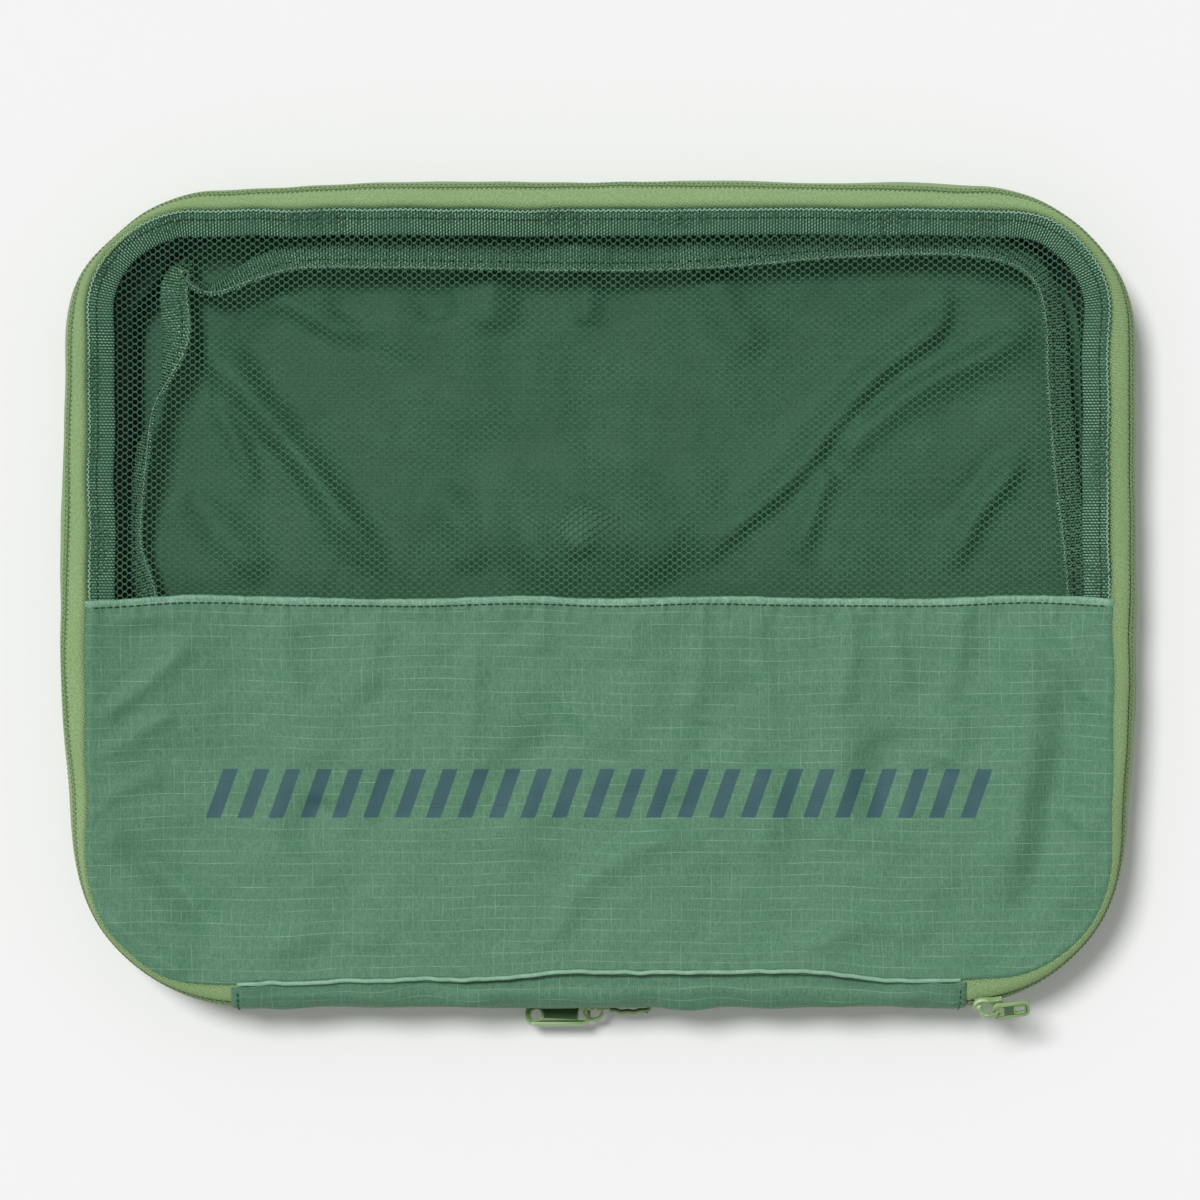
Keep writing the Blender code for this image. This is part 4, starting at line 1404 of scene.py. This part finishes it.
def slab(name, layers, material):
    """A closed solid from matching outlines stacked in z, with a flat cap at each end."""
    points, faces = [], []
    count = len(layers[0][0])
    for loop, z in layers:
        points += [(x, y, z) for x, y in loop]
    for row in range(len(layers) - 1):
        for k in range(count):
            j = (k + 1) % count
            faces.append((row * count + k, row * count + j, (row + 1) * count + j,
                          (row + 1) * count + k))
    faces.append(tuple(range(count - 1, -1, -1)))
    top = (len(layers) - 1) * count
    faces.append(tuple(range(top, top + count)))
    return mesh_from(name, points, faces, material)


def facing_out(piece):
    bm = bmesh.new()
    bm.from_mesh(piece.data)
    bmesh.ops.recalc_face_normals(bm, faces=bm.faces)
    bm.to_mesh(piece.data)
    bm.free()


def slider_solids(name):
    """A slider's plates, rails, post and bridge, joined as one piece."""
    outline = slider_outline()
    plate = slab(name + "_plate", ((slider_outline(-0.35), PLATE_LOW - 0.25), (outline, PLATE_LOW),
                                   (outline, PLATE_HIGH - 0.3),
                                   (slider_outline(-0.28), PLATE_HIGH)), "metal")
    # The flanges that turn down over the coil on both sides.
    rails = []
    for side in (1, -1):
        run = outline[(outline[:, 1] * side > 2.0) & (np.abs(outline[:, 0]) < 4.6)]
        run = run[np.argsort(run[:, 0])]
        path = np.column_stack((run[:, 0], run[:, 1] - side * 0.42, np.full(len(run), 0.18)))
        rails.append(sweep(name + "_rail", path, np.tile((0, 1.0, 0), (len(path), 1)),
                           rounded_loop(0.8, 1.1, 0.3), "metal"))
    # The bridge that the pull hangs from: an arch with a thickened crown.
    turn = np.linspace(0, math.pi, 22)
    x = -3.25 * np.cos(turn)
    z = PLATE_HIGH - 0.25 + 4.45 * np.sin(turn) ** 0.62
    arch = np.column_stack((x, x * 0, z))
    bridge = sweep(name + "_bridge", arch, np.tile((0, 1.0, 0), (len(arch), 1)),
                   rounded_loop(2.1, 0.95, 0.36), "metal")
    feet = [slab(name + "_foot", ((ring(1.25, 1.45, 20, px), PLATE_HIGH - 0.25),
                                  (ring(1.05, 1.25, 20, px), PLATE_HIGH + 0.45),
                                  (ring(0.6, 1.0, 20, px), PLATE_HIGH + 0.75)), "metal")
            for px in (-3.2, 3.2)]
    inner = slab(name + "_inner", ((slider_outline(-0.7), INNER_LOW), (slider_outline(-0.4),
                                   INNER_LOW + 0.2), (slider_outline(-0.4), INNER_HIGH)), "metal")
    post = slab(name + "_post", ((ring(1.2, 0.34, 20, 3.0), INNER_HIGH - 0.1),
                                 (ring(1.2, 0.30, 20, 3.0), PLATE_LOW + 0.1)), "metal")
    return join(name, [plate, *rails, bridge, *feet, inner, post])


def rounded_loop(length, width, radius, centre=(0.0, 0.0), steps=5):
    """A rounded rectangle, counter-clockwise, with the same count for any size."""
    loop = []
    for quarter, (sx, sy) in enumerate(((1, 1), (-1, 1), (-1, -1), (1, -1))):
        for step in range(steps + 1):
            turn = (quarter + step / steps) * 0.5 * math.pi
            loop.append((centre[0] + sx * (0.5 * length - radius) + radius * math.cos(turn),
                         centre[1] + sy * (0.5 * width - radius) + radius * math.sin(turn)))
    return np.array(loop)


def make_slider(name, body, pull_joint, along, away):
    """A slider under its pull's pivot: it gives the two directions and the pivot."""
    along, away = unit(np.array(along)), unit(np.array(away))
    across = np.cross(away, along)
    pivot = joint_place(pull_joint)
    origin = pivot - along * PIVOT_X - away * PIVOT_Z
    piece = slider_solids(name)
    facing_out(piece)
    place_in(piece, origin, along, across, away)
    bevelled(piece, 0.12)
    rides(piece, body, "painted_metal", body)
    return along, away, pivot


PULL_THICKNESS = 1.3
PULL_SUNK = 0.38


def pull_solid(name, outline, sunk, rings):
    """A cast pull: raised rim, sunk face on both sides, raised rings round its holes.

    outline and sunk are matching loops; rings holds (outer, hole) pairs of matching loops.
    """
    bm = bmesh.new()
    half = 0.5 * PULL_THICKNESS

    def loop_at(loop, z):
        return [bm.verts.new((x * MM, y * MM, z * MM)) for x, y in loop]

    def band(first, second):
        for k in range(len(first)):
            j = (k + 1) % len(first)
            bm.faces.new((first[k], first[j], second[j], second[k]))

    sides = []
    for sign in (1, -1):
        edge = loop_at(outline, sign * half)
        lip = loop_at(sunk, sign * half)
        floor = loop_at(sunk, sign * (half - PULL_SUNK))
        band(edge, lip)
        band(lip, floor)
        borders = [floor]
        holes = []
        for outer, hole in rings:
            foot = loop_at(outer, sign * (half - PULL_SUNK))
            crown = loop_at(outer, sign * half)
            bore = loop_at(hole, sign * half)
            band(foot, crown)
            band(crown, bore)
            borders.append(foot)
            holes.append(bore)
        edges = []
        for loop in borders:
            for k in range(len(loop)):
                pair = (loop[k], loop[(k + 1) % len(loop)])
                edges.append(bm.edges.get(pair) or bm.edges.new(pair))
        # The faces inside the rim get the dark sunk paint, which is also painted shade of the
        # recess.
        filled = bmesh.ops.triangle_fill(bm, use_beauty=True, use_dissolve=False, edges=edges)
        for item in filled["geom"]:
            if isinstance(item, bmesh.types.BMFace):
                item.material_index = 1
        sides.append((edge, holes))
    band(sides[0][0], sides[1][0])
    for first, second in zip(sides[0][1], sides[1][1]):
        band(first, second)
    bmesh.ops.recalc_face_normals(bm, faces=bm.faces)
    data = bpy.data.meshes.new(name)
    bm.to_mesh(data)
    bm.free()
    piece = link(name, data, "metal", smooth=False)
    data.materials.append(MATERIALS["metal_sunk"])
    bevelled(piece, 0.16)
    return piece


MAIN_ALONG = (-0.9925, -0.1219, 0.0)
MAIN_AWAY = (0.0948, -0.7719, 0.6286)
PRESS_ALONG = (1.0, 0.0, 0.0)
PRESS_AWAY = (0.0, -0.9817, -0.1904)
MAIN_LEAN = 14.0
PRESS_LEAN = 48.0


def turned(vector, axis, degrees):
    return np.array(Matrix.Rotation(math.radians(degrees), 3, Vector(axis)) @ Vector(vector))


def hung(piece, body, slider, lean):
    """Hangs a pull, built flat round its pivot, on its slider's bridge."""
    along, away, pivot = slider
    face = turned(away, along, lean)
    place_in(piece, pivot, along, np.cross(face, along), face)
    rides(piece, body, "painted_metal", body)


def main_pull(slider):
    """The main pull, seen almost face on from above: it leans out over the tape."""
    length, width = 13.0, 6.4
    far = 0.6 - 0.5 * length
    outline = rounded_loop(length, width, 2.1, (far, 0))
    sunk = rounded_loop(length - 1.9, width - 1.9, 1.35, (far, 0))
    eye = (rounded_loop(3.6, 3.7, 0.7, (-1.65, 0)), rounded_loop(2.7, 2.9, 0.5, (-1.65, 0)))
    hang = (rounded_loop(4.2, 3.7, 0.9, (-8.9, 0)), rounded_loop(3.2, 2.7, 0.6, (-8.9, 0)))
    piece = pull_solid("main_pull_tab", outline, sunk, (eye, hang))
    hung(piece, "main_pull", slider, MAIN_LEAN)


def compression_pull(slider):
    """The long pull of the compression zip, its face tilted up and a round hole at its end."""
    length, width = 23.0, 8.2
    far = 0.6 - 0.5 * length
    outline = rounded_loop(length, width, 3.3, (far, 0), steps=8)
    sunk = rounded_loop(length - 2.2, width - 2.2, 2.3, (far, 0), steps=8)
    eye = (rounded_loop(4.4, 4.4, 0.9, (-1.9, 0)), rounded_loop(3.5, 3.5, 0.6, (-1.9, 0)))
    hole_x = far - 0.5 * length + 3.9
    hang = (ring(2.75, 2.75, 28, hole_x), ring(1.95, 1.95, 28, hole_x))
    piece = pull_solid("compression_pull_tab", outline, sunk, (eye, hang))
    hung(piece, "compression_pull", slider, PRESS_LEAN)


main_pull(make_slider("main_slider_body", "main_slider", "main_pull_swing", MAIN_ALONG, MAIN_AWAY))
compression_pull(make_slider("compression_slider_body", "compression_slider",
                             "compression_pull_swing", PRESS_ALONG, PRESS_AWAY))


def tape_tab():
    """The folded end of tape that stands out beside the compression slider."""
    low, high = box_mm("compression_tape_tab")
    length = high[0] - low[0]
    middle_z = 0.5 * (low[2] + high[2])
    half = 0.5 * (high[2] - low[2])
    outer_y = low[1] - 0.9
    share = np.linspace(0, 1, 40)
    rows = []
    section = ((-1.0, 1.2), (-0.92, 0.5), (-0.7, 0.12), (-0.35, 0.0), (0.0, -0.1), (0.35, 0.0),
               (0.7, 0.15), (0.92, 0.55), (1.0, 1.25))
    for height, inward in section:
        x = low[0] + length * share
        bulge = 0.9 * np.sin(math.pi * np.clip(share * 1.1, 0, 1)) ** 0.7
        y = outer_y + inward - bulge + 0.18 * np.sin(x * 1.4)
        z = middle_z + height * half * (1 - 0.10 * share) + 0.15 * np.sin(x * 0.8)
        rows.append(np.column_stack((x, y, z)))
    rows = np.array(rows)
    ends = soft_step(np.minimum(share, 1 - share), 0.0, 0.06)
    rows[..., 1] += (1 - ends)[None] * 0.9
    piece = lattice("compression_tab", rows, ribbon_uv(rows), "tape", TAPE_THICKNESS, flip=True)
    rides(piece, "base", "zip_tape", "compression_tape_tab")
    column = rows[:, -5]
    line = smooth_line(column[1:-1], 6)
    away = np.tile((0, -1.0, 0.25), (len(line), 1))
    sewn = stitches("compression_tab_stitches", line, unit(away), 1.0, 0.45, 1.2, "dark_thread",
                    lift=0.15)
    rides(sewn, "base", "zip_tape")


tape_tab()


# ---------------------------------------------------------------- floor, light and camera

FLOOR_HALF = 6000.0
FLOOR_GAP = 0.3


def floor():
    data = bpy.data.meshes.new("floor")
    corners = [(x * FLOOR_HALF * MM, y * FLOOR_HALF * MM, 0)
               for x, y in ((-1, -1), (1, -1), (1, 1), (-1, 1))]
    data.from_pydata(corners, [], [(0, 1, 2, 3)])
    piece = bpy.data.objects.new("floor", data)
    bpy.context.scene.collection.objects.link(piece)
    piece.location.z = -FLOOR_GAP * MM
    data.materials.append(MATERIALS["floor"])


def soft_sun(name, towards, strength, spread):
    """A far, wide lamp, so that the floor is lit evenly."""
    data = bpy.data.lights.new(name, "SUN")
    data.energy = strength
    data.angle = math.radians(spread)
    lamp = bpy.data.objects.new(name, data)
    bpy.context.scene.collection.objects.link(lamp)
    lamp.location = towards
    lamp.rotation_euler = (-Vector(towards)).to_track_quat("-Z", "Y").to_euler()


VIEW_X = 0.35
VIEW_Y = -1.9
VIEW_WIDTH = 421.0
LENS = 128.0
SENSOR = 36.0
WORLD_STRENGTH = 0.385
KEY_STRENGTH = 2.3
KEY_TOWARDS = (-0.72, 0.76, 1.95)
KEY_SPREAD = 18.0
CAMERA_RISE = 20.0
FAR_CLIP = 20.0


def studio():
    soft_sun("key", KEY_TOWARDS, KEY_STRENGTH, KEY_SPREAD)
    world = bpy.data.worlds.new("studio")
    bpy.context.scene.world = world
    world.use_nodes = True
    sky = world.node_tree.nodes["Background"]
    sky.inputs["Color"].default_value = (1.0, 1.0, 1.0, 1.0)
    sky.inputs["Strength"].default_value = WORLD_STRENGTH
    data = bpy.data.cameras.new("camera")
    data.lens = LENS
    data.sensor_width = SENSOR
    data.clip_end = FAR_CLIP
    camera = bpy.data.objects.new("camera", data)
    bpy.context.scene.collection.objects.link(camera)
    distance = VIEW_WIDTH * LENS / SENSOR
    camera.location = (VIEW_X * MM, VIEW_Y * MM, (distance + CAMERA_RISE) * MM)
    bpy.context.scene.camera = camera
    bpy.context.scene.view_settings.view_transform = "Standard"
    bpy.context.scene.view_settings.look = "None"


floor()
studio()
